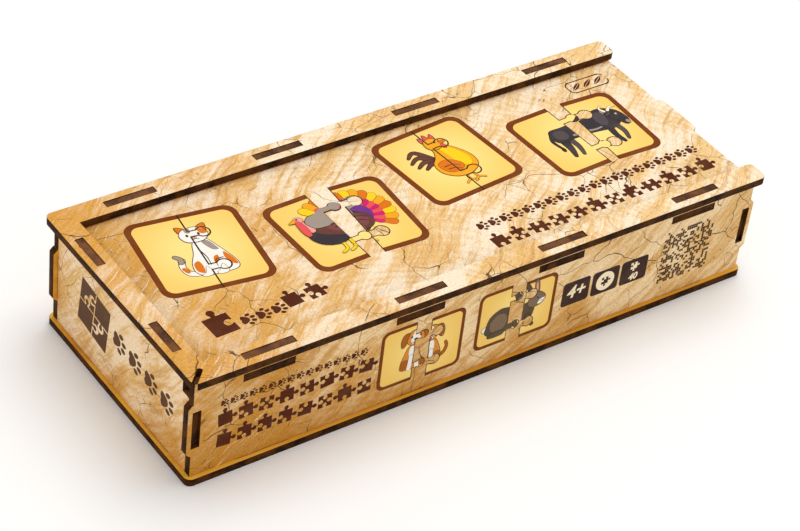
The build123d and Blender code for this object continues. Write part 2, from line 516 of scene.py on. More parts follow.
# ------------------------------------------------------------------ finishes
@dataclass(frozen=True)
class Finish:
    """A finish: a material built once under its own name."""

    name: str
    bump: float = 0.2
    bump_depth: float = 0.05 * MM
    gloss: float = 0.12

    def material(self) -> bpy.types.Material:
        """Find the material, or build it the first time.

        Returns:
            The material.
        """
        found = bpy.data.materials.get(self.name)
        if found:
            return found
        made = bpy.data.materials.new(self.name)
        made.use_nodes = True
        made.node_tree.nodes.clear()
        wires = Wiring(made.node_tree)
        surface = wires.node("BsdfPrincipled", {"Specular IOR Level": self.gloss})
        wires.node("OutputMaterial", {0: surface.outputs[0]})
        parts = self.paint(wires, wires.node("TexCoord").outputs["Object"])
        wires.feed(parts["Color"], surface.inputs["Base Color"])
        wires.feed(parts["Roughness"], surface.inputs["Roughness"])
        if "Height" in parts:
            inputs = {"Strength": self.bump, "Distance": self.bump_depth, "Height": parts["Height"]}
            wires.feed(wires.node("Bump", inputs).outputs[0], surface.inputs["Normal"])
        return made

    def paint(self, wires: Wiring, place: Socket) -> Sockets:
        """Build the finish's own nodes and give its sockets by name."""
        raise NotImplementedError


class Facing(Enum):
    """How a sheet's face lies: the object axes that run across and up it."""

    FLAT = (0, 1)
    FRONT = (0, 2)
    SIDE = (1, 2)


@dataclass(frozen=True)
class PrintedPly(Finish):
    """Plywood printed with the end of a log."""

    facing: Facing = Facing.FLAT
    pith: Point = (-0.05, -0.09)
    lean: float = -40.0
    pale: Colour = tint(253, 232, 202)
    tan: Colour = tint(242, 202, 140)
    gold: Colour = tint(220, 156, 58)
    streak: Colour = tint(206, 154, 92)
    crack: Colour = tint(60, 34, 14)
    # deepening and depth push the colour towards gold along a slope across the face and all over it; the
    # wall prints use them for painted shade.
    deepening: Point = (-2.1, 0.3)
    depth: float = -0.04

    def paint(self, wires: Wiring, place: Socket) -> Sockets:
        """Lay the log end print on the sheet's own plane."""
        parts = wires.node("SeparateXYZ", {0: place}).outputs
        across, up = self.facing.value
        return SawnLogPrint.place(
            wires, place=wires.combine(parts[across], parts[up], 0.0), pith=(*self.pith, 0.0),
            lean=math.radians(self.lean), pale=self.pale, tan=self.tan, gold=self.gold, streak=self.streak,
            crack=self.crack, deepening=(*self.deepening, 0.0), depth=self.depth)


@dataclass(frozen=True)
class BarePly(Finish):
    """Bare golden plywood face."""

    pale: Colour = tint(236, 186, 96)
    deep: Colour = tint(196, 134, 48)

    def paint(self, wires: Wiring, place: Socket) -> Sockets:
        """Lay long veneer grain on the face."""
        return LongGrain.place(wires, place=place, pale=self.pale, deep=self.deep)


@dataclass(frozen=True)
class CharredEdge(Finish):
    """A laser-cut plywood edge."""

    soot: Colour = tint(32, 16, 6)
    burnt: Colour = tint(88, 52, 22)

    def paint(self, wires: Wiring, place: Socket) -> Sockets:
        """Burn the edge."""
        return Scorch.place(wires, place=place, soot=self.soot, burnt=self.burnt)


@dataclass(frozen=True)
class PrintInk(Finish):
    """One ink of the pictures."""

    gloss: float = 0.04
    ink: Ink = Ink.LINE
    wood: Colour = tint(246, 214, 160)

    def paint(self, wires: Wiring, place: Socket) -> Sockets:
        """Mottle the ink with the wood under it."""
        return InkMottle.place(wires, place=place, ink=self.ink.value, wood=self.wood)


@dataclass(frozen=True)
class CardPrint(Finish):
    """A picture card's face: a brown rounded border round a yellow field."""

    centre: Point = (0.0, 0.0)
    half_size: Point = (0.036, 0.033)
    radius: float = 6.0 * MM
    width: float = 3.2 * MM

    def paint(self, wires: Wiring, place: Socket) -> Sockets:
        """Ink the field, then the border over it."""
        mask = RoundedBorder.place(
            wires, place=place, centre=(*self.centre, 0.0), half=(*self.half_size, 0.0), radius=self.radius,
            width=self.width)["Mask"]
        inner, rim = (InkMottle.place(wires, place=place, ink=ink.value, wood=PrintInk.wood)
                      for ink in (Ink.FIELD, Ink.BORDER))
        return {"Color": wires.blend(mask, inner["Color"], rim["Color"]), "Roughness": inner["Roughness"]}


@dataclass(frozen=True)
class FieldPrint(Finish):
    """A picture card's field: bright round its middle and deeper towards its rim."""

    centre: Triple = (0.0, 0.0, 0.0)
    reach: float = 26.0 * MM
    inner: Colour = tint(255, 224, 134)
    outer: Colour = tint(247, 204, 104)

    def paint(self, wires: Wiring, place: Socket) -> Sockets:
        """Fade the field's ink and mottle it."""
        glow = SoftGlow.place(wires, place=place, centre=self.centre, reach=self.reach, inner=self.inner,
                              outer=self.outer)["Color"]
        return InkMottle.place(wires, place=place, ink=glow, wood=PrintInk.wood)


BARE = BarePly("Bare ply", pale=tint(240, 182, 64), deep=tint(200, 134, 34))
CHARRED = CharredEdge("Charred edge", gloss=0.04)
# A lighter copy of the charred edge for edge faces that turn up: painted light where the lamp falls on them.
CHARRED_PAINTED_LIT = CharredEdge("Charred end painted lit", gloss=0.1, soot=tint(70, 40, 22), burnt=tint(124, 80, 48))
CARD_BACK = BarePly("Card back", pale=tint(232, 198, 140), deep=tint(200, 154, 90))
TOP_PRINT = PrintedPly("Top print")
# The walls' prints are darker copies of the top print that deepen towards their bottoms: log print with
# painted shade.
FRONT_PRINT_SHADED = PrintedPly(
    "Front print painted shade", facing=Facing.FRONT, pith=(-0.02, 0.16), pale=tint(248, 218, 170),
    tan=tint(230, 184, 114), gold=tint(200, 136, 40), deepening=(-2.2, -6.0), depth=0.15)
BACK_PRINT_SHADED = PrintedPly(
    "Back print painted shade", facing=Facing.FRONT, pith=(0.03, -0.12), lean=35.0, pale=tint(248, 216, 168),
    tan=tint(226, 180, 116), gold=tint(192, 128, 42), deepening=(0.0, -6.0), depth=0.1)
LEFT_PRINT_SHADED = PrintedPly(
    "Left print painted shade", facing=Facing.SIDE, pith=(0.01, 0.09), lean=50.0, pale=tint(248, 220, 182),
    tan=tint(234, 190, 122), gold=tint(206, 142, 46), deepening=(-2.0, -9.0), depth=0.2)
RIGHT_PRINT_SHADED = PrintedPly(
    "Right print painted shade", facing=Facing.SIDE, pith=(-0.02, -0.06), pale=tint(248, 218, 172),
    tan=tint(228, 182, 118), gold=tint(194, 130, 44), deepening=(0.0, -7.0), depth=0.1)


def ink_finish(ink: Ink) -> PrintInk:
    """The finish of one ink."""
    return PrintInk(f"Ink {ink.name.lower()}", ink=ink)


# ------------------------------------------------------------- plane outlines
def oval(x: float, y: float, half_x: float, half_y: float, turn: float = 0.0, steps: int = 28) -> Outline:
    """An ellipse outline.

    Args:
        x: Centre, across.
        y: Centre, up.
        half_x: Half width before turning.
        half_y: Half height before turning.
        turn: Turn in degrees, anticlockwise.
        steps: Number of points.

    Returns:
        The outline, anticlockwise.
    """
    made = []
    cosine, sine = math.cos(math.radians(turn)), math.sin(math.radians(turn))
    for step in range(steps):
        angle = FULL_TURN * step / steps
        u, v = half_x * math.cos(angle), half_y * math.sin(angle)
        made.append((x + u * cosine - v * sine, y + u * sine + v * cosine))
    return made


def smooth(points: Sequence[Point], steps: int = 6, closed: bool = True) -> Outline:
    """Run a smooth curve through points.

    Args:
        points: The points to pass through.
        steps: Points made for each stretch.
        closed: Whether the curve joins up.

    Returns:
        The finer outline.
    """
    count = len(points)
    made = []
    for index in range(count if closed else count - 1):
        corners = [
            points[(index + shift) % count] if closed else points[min(max(index + shift, 0), count - 1)]
            for shift in (-1, 0, 1, 2)
        ]
        for step in range(steps):
            t = step / steps
            weights = (-0.5 * t + t * t - 0.5 * t ** 3, 1 - 2.5 * t * t + 1.5 * t ** 3,
                       0.5 * t + 2 * t * t - 1.5 * t ** 3, -0.5 * t * t + 0.5 * t ** 3)
            made.append((sum(w * c[0] for w, c in zip(weights, corners)),
                         sum(w * c[1] for w, c in zip(weights, corners))))
    if not closed:
        made.append(points[-1])
    return made


def stroke(points: Sequence[Point], start: float, end: float) -> Outline:
    """A brush stroke along a smooth line, with round ends.

    Args:
        points: The line's points.
        start: Half width at the start.
        end: Half width at the end.

    Returns:
        The stroke's outline.
    """
    line = smooth(points, closed=False)
    left, right = [], []
    last = len(line) - 1
    for index, (x, y) in enumerate(line):
        ahead, behind = line[min(index + 1, last)], line[max(index - 1, 0)]
        run = Vector((ahead[0] - behind[0], ahead[1] - behind[1])).normalized()
        half = start + (end - start) * index / last
        left.append((x - run.y * half, y + run.x * half))
        right.append((x + run.y * half, y - run.x * half))
    caps = []
    for centre, edge, half in ((line[-1], left[-1], end), (line[0], right[0], start)):
        first = math.atan2(edge[1] - centre[1], edge[0] - centre[0])
        caps.append([(centre[0] + half * math.cos(first - turn), centre[1] + half * math.sin(first - turn))
                     for turn in (math.pi / 4, math.pi / 2, 3 * math.pi / 4)])
    return left + caps[0] + right[::-1] + caps[1]


def area(outline: Sequence[Point]) -> float:
    """The signed area of an outline, positive when anticlockwise."""
    pairs = zip(outline, [*outline[1:], outline[0]])
    return sum(a[0] * b[1] - b[0] * a[1] for a, b in pairs) / 2


def anticlockwise(outline: Outline) -> Outline:
    """The outline, reversed where it runs clockwise."""
    return outline if area(outline) > 0 else outline[::-1]


def grown(outline: Outline, by: float) -> Outline:
    """Push an outline's points outwards.

    Args:
        outline: The outline.
        by: How far each point moves.

    Returns:
        The larger outline.
    """
    ring = anticlockwise(outline)
    count = len(ring)
    made = []
    for index, (x, y) in enumerate(ring):
        before, after = ring[index - 1], ring[(index + 1) % count]
        run = Vector((after[0] - before[0], after[1] - before[1]))
        if run.length > 0:
            run.normalize()
        made.append((x + run.y * by, y - run.x * by))
    return made


def moved(outline: Outline, across: float, up: float, scale: float = 1.0, turn: float = 0.0) -> Outline:
    """Scale, turn and move an outline.

    Args:
        outline: The outline.
        across: Move to the right.
        up: Move up.
        scale: Size factor, applied first.
        turn: Turn in degrees, applied second.

    Returns:
        The placed outline.
    """
    cosine, sine = math.cos(math.radians(turn)) * scale, math.sin(math.radians(turn)) * scale
    return [(across + x * cosine - y * sine, up + x * sine + y * cosine) for x, y in outline]


def rounded(width: float, height: float, radius: float, steps: int = 8) -> Outline:
    """A rounded rectangle about the origin, anticlockwise."""
    made = []
    corners = ((1, 1, 0.0), (-1, 1, 0.25), (-1, -1, 0.5), (1, -1, 0.75))
    for side_x, side_y, quarter in corners:
        centre_x = side_x * (width / 2 - radius)
        centre_y = side_y * (height / 2 - radius)
        for step in range(steps + 1):
            angle = FULL_TURN * (quarter + 0.25 * step / steps)
            made.append((centre_x + radius * math.cos(angle), centre_y + radius * math.sin(angle)))
    return made


@dataclass(frozen=True)
class Knob:
    """A jigsaw knob: its neck width, head radius and the head's distance from the edge."""

    neck: float
    head: float
    reach: float

    WIDEST = 0.98

    def path(self, start: Point, end: Point, side: float, steps: int = 18) -> Outline:
        """The knob's outline halfway along an edge.

        Args:
            start: The edge's start.
            end: The edge's end.
            side: Where it bulges, +1 to the right of the way from start to end.
            steps: Points on the head.

        Returns:
            Points from the neck's first foot round to its second.
        """
        run = Vector(end) - Vector(start)
        along = run.normalized()
        out = Vector((along.y, -along.x)) * side
        middle = Vector(start) + run / 2
        centre = middle + out * self.reach
        half = math.asin(min(self.WIDEST, self.neck / 2 / self.head))
        made = [middle - along * self.neck / 2]
        for step in range(steps + 1):
            angle = half + (FULL_TURN - 2 * half) * step / steps
            made.append(centre - out * self.head * math.cos(angle) - along * self.head * math.sin(angle))
        made.append(middle + along * self.neck / 2)
        return [(p.x, p.y) for p in made]


NECK_SHARE, HEAD_SHARE, REACH_SHARE = 0.2, 0.16, 0.2


def jigsaw(size: float, sides: Sequence[int], slack: float = 0.0) -> Outline:
    """A square jigsaw piece.

    Args:
        size: Length of its sides.
        sides: For bottom, right, top and left: +1 a knob, -1 a socket, 0 straight.
        slack: How much smaller its knobs are than its sockets, as a share of its size.

    Returns:
        The outline about the origin.
    """
    half = size / 2
    corners = [(-half, -half), (half, -half), (half, half), (-half, half)]
    made = []
    for index, side in enumerate(sides):
        start, end = corners[index], corners[(index + 1) % 4]
        made.append(start)
        if side:
            trim = -side * slack * size / 2
            knob = Knob(size * NECK_SHARE + 2 * trim, size * HEAD_SHARE + trim, size * REACH_SHARE)
            made.extend(knob.path(start, end, side))
    return made


# ------------------------------------------------------------ printed shapes
@dataclass(frozen=True)
class InkShape:
    """A flat patch of ink, with a dark line round it if `line` is over zero."""

    ink: Ink
    outline: Outline
    line: float = 0.0


@dataclass(frozen=True)
class FacePlane:
    """A flat face to print on: a point on it and the ways across, up and out."""

    origin: Vector
    across: Vector
    up: Vector
    out: Vector

    def matrix(self) -> Matrix:
        """The transform from the face's own axes to the shared frame."""
        turn = Matrix((self.across, self.up, self.out)).transposed().to_4x4()
        return Matrix.Translation(self.origin) @ turn

    def ink_matrix(self) -> Matrix:
        """The transform from millimetres on the face, and layers of ink off it, to the shared frame."""
        return self.matrix() @ Matrix.Diagonal((MM, MM, INK_LAYER, 1.0))


def put(name: str, data: bpy.types.ID) -> Piece:
    """Add an object to the scene.

    Args:
        name: The object's name.
        data: Its mesh, curve, light or camera.

    Returns:
        The object.
    """
    made = bpy.data.objects.new(name, data)
    bpy.context.scene.collection.objects.link(made)
    return made


def settle(name: str, mesh: bpy.types.Mesh, body: Body, nodes: Iterable[str] = ()) -> None:
    """Add a piece that rides on its body and stands for its nodes.

    Args:
        name: The piece's name.
        mesh: Its mesh, in the shared frame.
        body: The body that it rides on.
        nodes: CAD nodes that it replaces.
    """
    piece = put(name, mesh)
    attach(piece, body.value)
    if nodes:
        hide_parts(*nodes)
    log.info("%s rides on %s (%d faces)", piece.name, body.value, len(piece.data.polygons))


def add_prism(work: bmesh.types.BMesh, outline: Outline, low: float, high: float, index: int = 0) -> None:
    """Add one closed prism.

    Args:
        work: The mesh to add to.
        outline: The prism's outline.
        low: Height of its underside.
        high: Height of its top.
        index: Material index of its faces.
    """
    ring = anticlockwise(outline)
    below = [work.verts.new((x, y, low)) for x, y in ring]
    above = [work.verts.new((x, y, high)) for x, y in ring]
    faces = [work.faces.new(above), work.faces.new(below[::-1])]
    for at, after in zip(range(len(ring)), [*range(1, len(ring)), 0]):
        faces.append(work.faces.new((below[at], below[after], above[after], above[at])))
    for face in faces:
        face.material_index = index


def taken(work: bmesh.types.BMesh, name: str) -> bpy.types.Mesh:
    """Turn finished work into a mesh of its own."""
    made = bpy.data.meshes.new(name)
    work.to_mesh(made)
    work.free()
    return made


def evaluated(piece: Piece) -> bpy.types.Mesh:
    """A piece's mesh with its modifiers or its letters worked out."""
    graph = bpy.context.evaluated_depsgraph_get()
    return bpy.data.meshes.new_from_object(piece.evaluated_get(graph))


@dataclass
class InkSheet:
    """Ink patches as thin closed solids, one layer above another, on one face."""

    face: FacePlane
    first_layer: int = 1
    finishes: dict[Ink, Finish] = field(default_factory=dict)

    TALL = 1.0
    FILL = 0.6

    def solid(self, name: str, shapes: Sequence[InkShape], cutter: Outline | None) -> bpy.types.Mesh:
        """Build the layered prisms, cut to an outline where one is given.

        Args:
            name: The mesh's name.
            shapes: The patches from the lowest to the highest.
            cutter: The outline to keep, or None for all.

        Returns:
            A mesh in millimetres, with whole numbers of layers as heights.
        """
        inks = list(dict.fromkeys([*(shape.ink for shape in shapes), Ink.LINE]))
        work = bmesh.new()
        level = float(self.first_layer)
        for shape in shapes:
            patches = [(shape.ink, shape.outline)]
            if shape.line > 0:
                patches.insert(0, (Ink.LINE, grown(shape.outline, shape.line)))
            for ink, outline in patches:
                add_prism(work, outline, level, level + self.FILL, inks.index(ink))
                level += self.TALL
        made = taken(work, name)
        for ink in inks:
            made.materials.append(self.finishes.get(ink, ink_finish(ink)).material())
        return made if cutter is None else self.cut(made, cutter, level)

    def cut(self, mesh: bpy.types.Mesh, cutter: Outline, top: float) -> bpy.types.Mesh:
        """Keep only what lies inside an outline.

        Args:
            mesh: The layered prisms.
            cutter: The outline to keep.
            top: Height that the cutter must reach over.

        Returns:
            The cut mesh.
        """
        block = bmesh.new()
        add_prism(block, cutter, 0.0, top + self.TALL)
        whole, knife = put("whole", mesh), put("knife", taken(block, "cutter"))
        step = whole.modifiers.new("keep", "BOOLEAN")
        step.operation, step.solver, step.object = "INTERSECT", "EXACT", knife
        made = evaluated(whole)
        bpy.data.objects.remove(whole)
        bpy.data.objects.remove(knife)
        return made

    def print_on(self, name: str, shapes: Sequence[InkShape], body: Body, spot: Matrix,
                 cutter: Outline | None = None) -> None:
        """Print shapes on the face as one piece.

        Args:
            name: The piece's name.
            shapes: The patches, in millimetres on the face's axes.
            body: The body that it rides on.
            spot: A further place on the face, in millimetres.
            cutter: The outline to keep, or None for all.
        """
        mesh = self.solid(name, shapes, cutter)
        mesh.transform(self.face.ink_matrix() @ spot)
        settle(name, mesh, body)


# ------------------------------------------------------------------ pictures
OUTLINED = 0.3
FINE_LINE = 0.16


def patch(ink: Ink, *points: Point, line: float = OUTLINED) -> InkShape:
    """A patch with a smooth rim through points."""
    return InkShape(ink, smooth(points), line)


def limb(ink: Ink, start: float, end: float, *points: Point, line: float = OUTLINED) -> InkShape:
    """A limb along points, from one half width to another."""
    return InkShape(ink, stroke(points, start, end), line)


def spot(ink: Ink, x: float, y: float, half_x: float, half_y: float, turn: float = 0.0,
         line: float = 0.0) -> InkShape:
    """An oval spot."""
    return InkShape(ink, oval(x, y, half_x, half_y, turn), line)


def mark(*points: Point, start: float = 0.22, end: float = 0.12) -> InkShape:
    """A dark pen mark along points."""
    return limb(Ink.LINE, start, end, *points, line=0.0)


def both_sides(*points: Point) -> tuple[Outline, Outline]:
    """Points on the right, mirrored to the left and then as they are."""
    return [(-x, y) for x, y in points], list(points)


class Picture(Enum):
    """The generic farm animals on the cards."""

    CAT = "cat"
    TURKEY = "turkey"
    ROOSTER = "rooster"
    BULL = "bull"
    DOG = "dog"
    RABBIT = "rabbit"


@dataclass(frozen=True)
class Menagerie:
    """Draws each animal on a card about 40 mm by 38 mm, centred on the origin."""

    def draw(self, picture: Picture) -> list[InkShape]:
        """The shapes of one animal, lowest first."""
        drawings: dict[Picture, Callable[[], list[InkShape]]] = {
            Picture.CAT: self.cat, Picture.TURKEY: self.turkey, Picture.ROOSTER: self.rooster,
            Picture.BULL: self.bull, Picture.DOG: self.dog, Picture.RABBIT: self.rabbit,
        }
        return drawings[picture]()

    def fan(self, hub: Point, angles: range, reach: float, inks: Sequence[Ink], start: float, end: float,
            line: float) -> list[InkShape]:
        """Tail feathers that spread from one point.

        Args:
            hub: Where the feathers meet.
            angles: Their headings in degrees.
            reach: How far they run.
            inks: Their inks in turn.
            start: Half width at the hub.
            end: Half width at the tip.
            line: Width of the line round each.

        Returns:
            The feathers.
        """
        made = []
        for index, angle in enumerate(angles):
            heading = math.radians(angle)
            tip = (hub[0] + reach * math.cos(heading), hub[1] + reach * math.sin(heading))
            made.append(limb(inks[index % len(inks)], start, end, hub, tip, line=line))
        return made

    def cat(self) -> list[InkShape]:
        """A seated patched cat."""
        return [
            limb(Ink.WHITE, 1.3, 1.0, (-4.0, -10.4), (-8.4, -9.4), (-9.8, -5.4), (-8.6, -1.6)),
            limb(Ink.GREY, 1.0, 0.8, (-9.3, -2.6), (-9.0, -0.8), (-10.4, 0.9)),
            limb(Ink.ORANGE, 0.9, 0.9, (-8.9, -8.2), (-9.7, -6.4), line=0.0),
            patch(Ink.WHITE, (0.4, 8.4), (4.2, 7.4), (6.4, 3.0), (8.8, -3.4), (10.2, -8.6), (8.6, -11.6),
                  (2.6, -12.2), (-3.4, -12.0), (-6.2, -9.4), (-5.8, -4.8), (-3.2, 0.6), (-1.8, 5.2)),
            patch(Ink.GREY, (2.0, 6.2), (4.4, 6.4), (6.0, 2.6), (6.4, 0.4), (4.0, 1.2), line=0.0),
            patch(Ink.ORANGE, (7.4, -1.4), (9.4, -5.6), (9.9, -9.4), (7.9, -8.4), (6.6, -4.8), line=0.0),
            patch(Ink.ORANGE, (-5.4, -5.0), (-3.2, -3.8), (-2.6, -7.2), (-3.4, -10.6), (-5.6, -9.0),
                  line=0.0),
            patch(Ink.ORANGE, (2.8, -3.4), (4.6, -2.6), (4.2, -5.6), (2.2, -6.2), line=0.0),
            patch(Ink.WHITE, (-1.6, -7.4), (-0.4, -10.6), (-1.4, -12.4), (-4.2, -12.6), (-4.6, -11.4),
                  (-3.0, -10.6), line=FINE_LINE),
            patch(Ink.WHITE, (4.4, -7.8), (5.4, -10.8), (4.6, -12.6), (1.6, -12.8), (1.0, -11.6),
                  (2.6, -10.4), line=FINE_LINE),
            mark((-0.6, 2.4), (0.6, -2.4), (0.4, -7.0)),
            mark((6.0, -4.4), (3.0, -5.0), (2.4, -8.4)),
            patch(Ink.ORANGE, (-3.4, 11.8), (-4.4, 16.4), (-1.0, 14.4)),
            patch(Ink.ORANGE, (3.0, 14.2), (6.8, 16.2), (5.8, 11.6)),
            patch(Ink.WHITE, (-4.4, 10.6), (-3.0, 13.8), (1.2, 15.0), (5.2, 13.6), (6.2, 10.2),
                  (4.2, 7.4), (1.0, 6.6), (-2.8, 7.4)),
            patch(Ink.ORANGE, (3.0, 14.2), (5.6, 13.0), (6.1, 10.6), (3.8, 10.8), line=0.0),
            patch(Ink.GREY, (-1.6, 14.6), (0.4, 14.8), (0.2, 12.2), (-1.4, 12.4), line=0.0),
            spot(Ink.LINE, -1.6, 10.8, 0.5, 0.75),
            spot(Ink.LINE, 2.9, 10.9, 0.5, 0.75),
            patch(Ink.PINK, (0.0, 9.3), (1.4, 9.3), (0.7, 8.5), line=FINE_LINE),
            mark((-0.5, 7.9), (0.7, 8.4), (1.9, 7.9), start=0.14, end=0.14),
        ]

    def turkey(self) -> list[InkShape]:
        """A turkey with its tail fanned out behind it."""
        hub = (3.4, 1.4)
        outer_inks = (Ink.ORANGE, Ink.AMBER, Ink.YELLOW)
        return [
            *self.fan(hub, range(-38, 128, 15), 13.6, outer_inks, 1.2, 2.0, FINE_LINE),
            *self.fan(hub, range(-44, 124, 14), 9.2, (Ink.MAGENTA, Ink.ROSE), 1.0, 1.5, 0.0),
            spot(Ink.VIOLET, *hub, 6.2, 6.2),
            limb(Ink.YELLOW, 0.6, 0.5, (-2.4, -8.6), (-2.8, -13.2), (-5.4, -14.6), line=FINE_LINE),
            limb(Ink.YELLOW, 0.6, 0.5, (0.8, -8.6), (0.6, -13.4), (-2.0, -15.0), line=FINE_LINE),
            limb(Ink.YELLOW, 0.5, 0.4, (0.6, -13.0), (2.6, -14.6), line=FINE_LINE),
            patch(Ink.COAL, (-10.6, 1.4), (-6.8, 3.8), (0.6, 4.6), (5.4, 1.6), (6.0, -3.6), (2.6, -8.2),
                  (-3.2, -9.8), (-8.8, -7.6), (-11.4, -3.2)),
            patch(Ink.UMBER, (-8.6, 3.0), (-1.8, 4.6), (6.6, 1.0), (7.4, -4.4), (3.6, -7.0), (-1.6, -5.2),
                  (-6.8, -2.0), line=FINE_LINE),
            patch(Ink.PLUM, (-3.0, 1.4), (3.4, 1.6), (6.2, -2.2), (3.4, -5.4), (-0.4, -3.2), line=0.0),
            patch(Ink.GREY, (-8.4, 5.6), (-5.4, 8.6), (-0.6, 8.2), (2.4, 5.0), (1.6, 1.2), (-2.8, 0.8),
                  (-7.2, 2.0)),
            limb(Ink.GREY, 2.6, 2.9, (-3.4, 5.4), (1.6, 8.0), (6.4, 9.8), line=0.0),
            mark((0.2, -1.2), (3.4, -1.6), (5.8, -3.4)),
            mark((-0.4, 1.0), (3.2, 0.8), (6.0, -0.8)),
            limb(Ink.PINK, 1.4, 1.2, (-8.4, 1.2), (-9.8, 4.6), (-9.6, 7.6)),
            spot(Ink.PINK, -9.8, 8.6, 1.9, 1.7, line=FINE_LINE),
            patch(Ink.ROSE, (-11.4, 7.8), (-9.8, 7.6), (-9.2, 3.4), (-9.8, -0.8), (-11.6, -1.2),
                  (-12.2, 2.6), line=FINE_LINE),
            patch(Ink.AMBER, (-11.3, 9.4), (-14.0, 8.2), (-11.4, 7.7), line=FINE_LINE),
            spot(Ink.LINE, -10.0, 9.2, 0.42, 0.5),
        ]

    def rooster(self) -> list[InkShape]:
        """A golden rooster with a dark tail."""
        shapes = []
        bend_share, arch = 0.62, 1.8
        for sweep in ((-11.6, 8.8), (-12.6, 5.4), (-11.8, 2.2), (-9.6, 0.0)):
            bend = (sweep[0] * bend_share, sweep[1] + arch)
            shapes.append(limb(Ink.UMBER, 1.5, 0.4, (-2.6, 1.2), bend, sweep))
        shapes += [
            limb(Ink.AMBER, 0.5, 0.45, (1.2, -8.0), (0.6, -13.2), line=FINE_LINE),
            limb(Ink.AMBER, 0.5, 0.45, (4.0, -8.0), (4.2, -13.4), line=FINE_LINE),
            limb(Ink.AMBER, 0.4, 0.4, (-1.8, -14.2), (0.6, -13.0), (3.0, -14.4), line=FINE_LINE),
            limb(Ink.AMBER, 0.4, 0.4, (2.0, -14.8), (4.2, -13.2), (6.6, -14.6), line=FINE_LINE),
            patch(Ink.AMBER, (0.4, 9.8), (4.8, 9.6), (8.6, 4.8), (10.8, -1.6), (9.2, -7.2), (3.6, -10.0),
                  (-2.2, -9.0), (-6.0, -4.6), (-5.6, 0.6), (-2.8, 3.4), (-0.8, 6.4)),
            patch(Ink.YELLOW, (2.6, 9.0), (5.2, 8.6), (8.4, 2.6), (9.2, -2.6), (6.8, -5.8), (3.8, -3.2),
                  (3.0, 2.8), line=0.0),
            patch(Ink.ORANGE, (-4.6, -0.4), (-0.6, 1.2), (3.4, -1.4), (4.4, -4.8), (1.0, -6.8),
                  (-3.4, -5.4), line=FINE_LINE),
            mark((-3.0, -2.2), (0.4, -2.4), (3.0, -4.2)),
            mark((-2.4, -4.0), (0.4, -4.6), (2.2, -5.8)),
            patch(Ink.ROSE, (-0.8, 13.4), (-0.6, 16.8), (1.0, 15.2), (2.2, 17.6), (3.4, 15.2),
                  (5.2, 16.8), (5.0, 13.2), (2.2, 12.2)),
            patch(Ink.AMBER, (-1.2, 10.6), (-0.2, 13.8), (3.0, 14.6), (5.6, 12.6), (5.6, 9.2), (2.4, 7.8),
                  (0.0, 8.4)),
            patch(Ink.ORANGE, (5.3, 12.0), (8.2, 11.0), (5.5, 10.0), line=FINE_LINE),
            spot(Ink.ROSE, 5.4, 8.4, 0.9, 1.5, line=FINE_LINE),
            spot(Ink.LINE, 3.6, 11.9, 0.5, 0.6),
        ]
        return shapes

    def bull(self) -> list[InkShape]:
        """A dark bull walking to the right."""
        return [
            limb(Ink.COAL, 0.7, 0.45, (-14.6, 4.4), (-17.0, 0.2), (-16.4, -5.4)),
            spot(Ink.LINE, -16.4, -6.6, 1.0, 1.7, -8),
            limb(Ink.SLATE, 1.5, 0.6, (-9.4, -1.0), (-9.0, -7.4), (-10.4, -13.0)),
            limb(Ink.SLATE, 1.4, 0.6, (9.6, -1.0), (10.6, -7.2), (9.4, -12.4)),
            limb(Ink.COAL, 2.1, 0.65, (-12.4, 0.0), (-13.0, -7.0), (-14.6, -12.6)),
            limb(Ink.COAL, 1.6, 0.65, (6.4, -1.0), (5.6, -7.8), (6.6, -13.4)),
            patch(Ink.COAL, (-15.6, 3.6), (-13.4, 6.6), (-6.4, 6.4), (0.6, 7.4), (6.0, 10.4), (11.8, 9.8),
                  (14.8, 5.4), (13.4, -0.4), (8.4, -3.6), (0.4, -3.0), (-6.6, -2.4), (-13.4, -2.6),
                  (-15.8, 0.2)),
            patch(Ink.SLATE, (-13.4, 4.8), (-8.6, 4.6), (-7.8, 0.4), (-10.6, -1.4), (-13.8, 0.6),
                  line=0.0),
            patch(Ink.SLATE, (3.4, 6.8), (7.2, 8.8), (9.0, 5.2), (7.0, -0.6), (3.8, 0.4), line=0.0),
            patch(Ink.GREY, (8.6, 8.8), (11.2, 8.6), (11.6, 5.8), (9.4, 6.2), line=0.0),
            limb(Ink.GREY, 0.7, 0.4, (-5.6, -0.6), (-0.6, -1.4), (3.0, -1.0), line=0.0),
            patch(Ink.COAL, (10.0, 7.8), (13.4, 8.6), (16.4, 5.6), (17.6, 0.4), (16.6, -3.2),
                  (14.6, -3.4), (12.6, 0.4), (10.4, 3.4)),
            limb(Ink.CREAM, 0.75, 0.25, (12.6, 8.0), (14.8, 9.8), (17.2, 9.4), line=FINE_LINE),
            limb(Ink.CREAM, 0.7, 0.25, (10.6, 7.8), (9.6, 10.2), (11.2, 12.0), line=FINE_LINE),
            spot(Ink.SLATE, 11.0, 5.6, 1.7, 0.7, 30, line=FINE_LINE),
            spot(Ink.GREY, 16.3, -2.3, 1.0, 1.3, 12, line=FINE_LINE),
            spot(Ink.CREAM, 14.5, 4.4, 0.55, 0.6),
            spot(Ink.LINE, 14.6, 4.3, 0.3, 0.36),
        ]

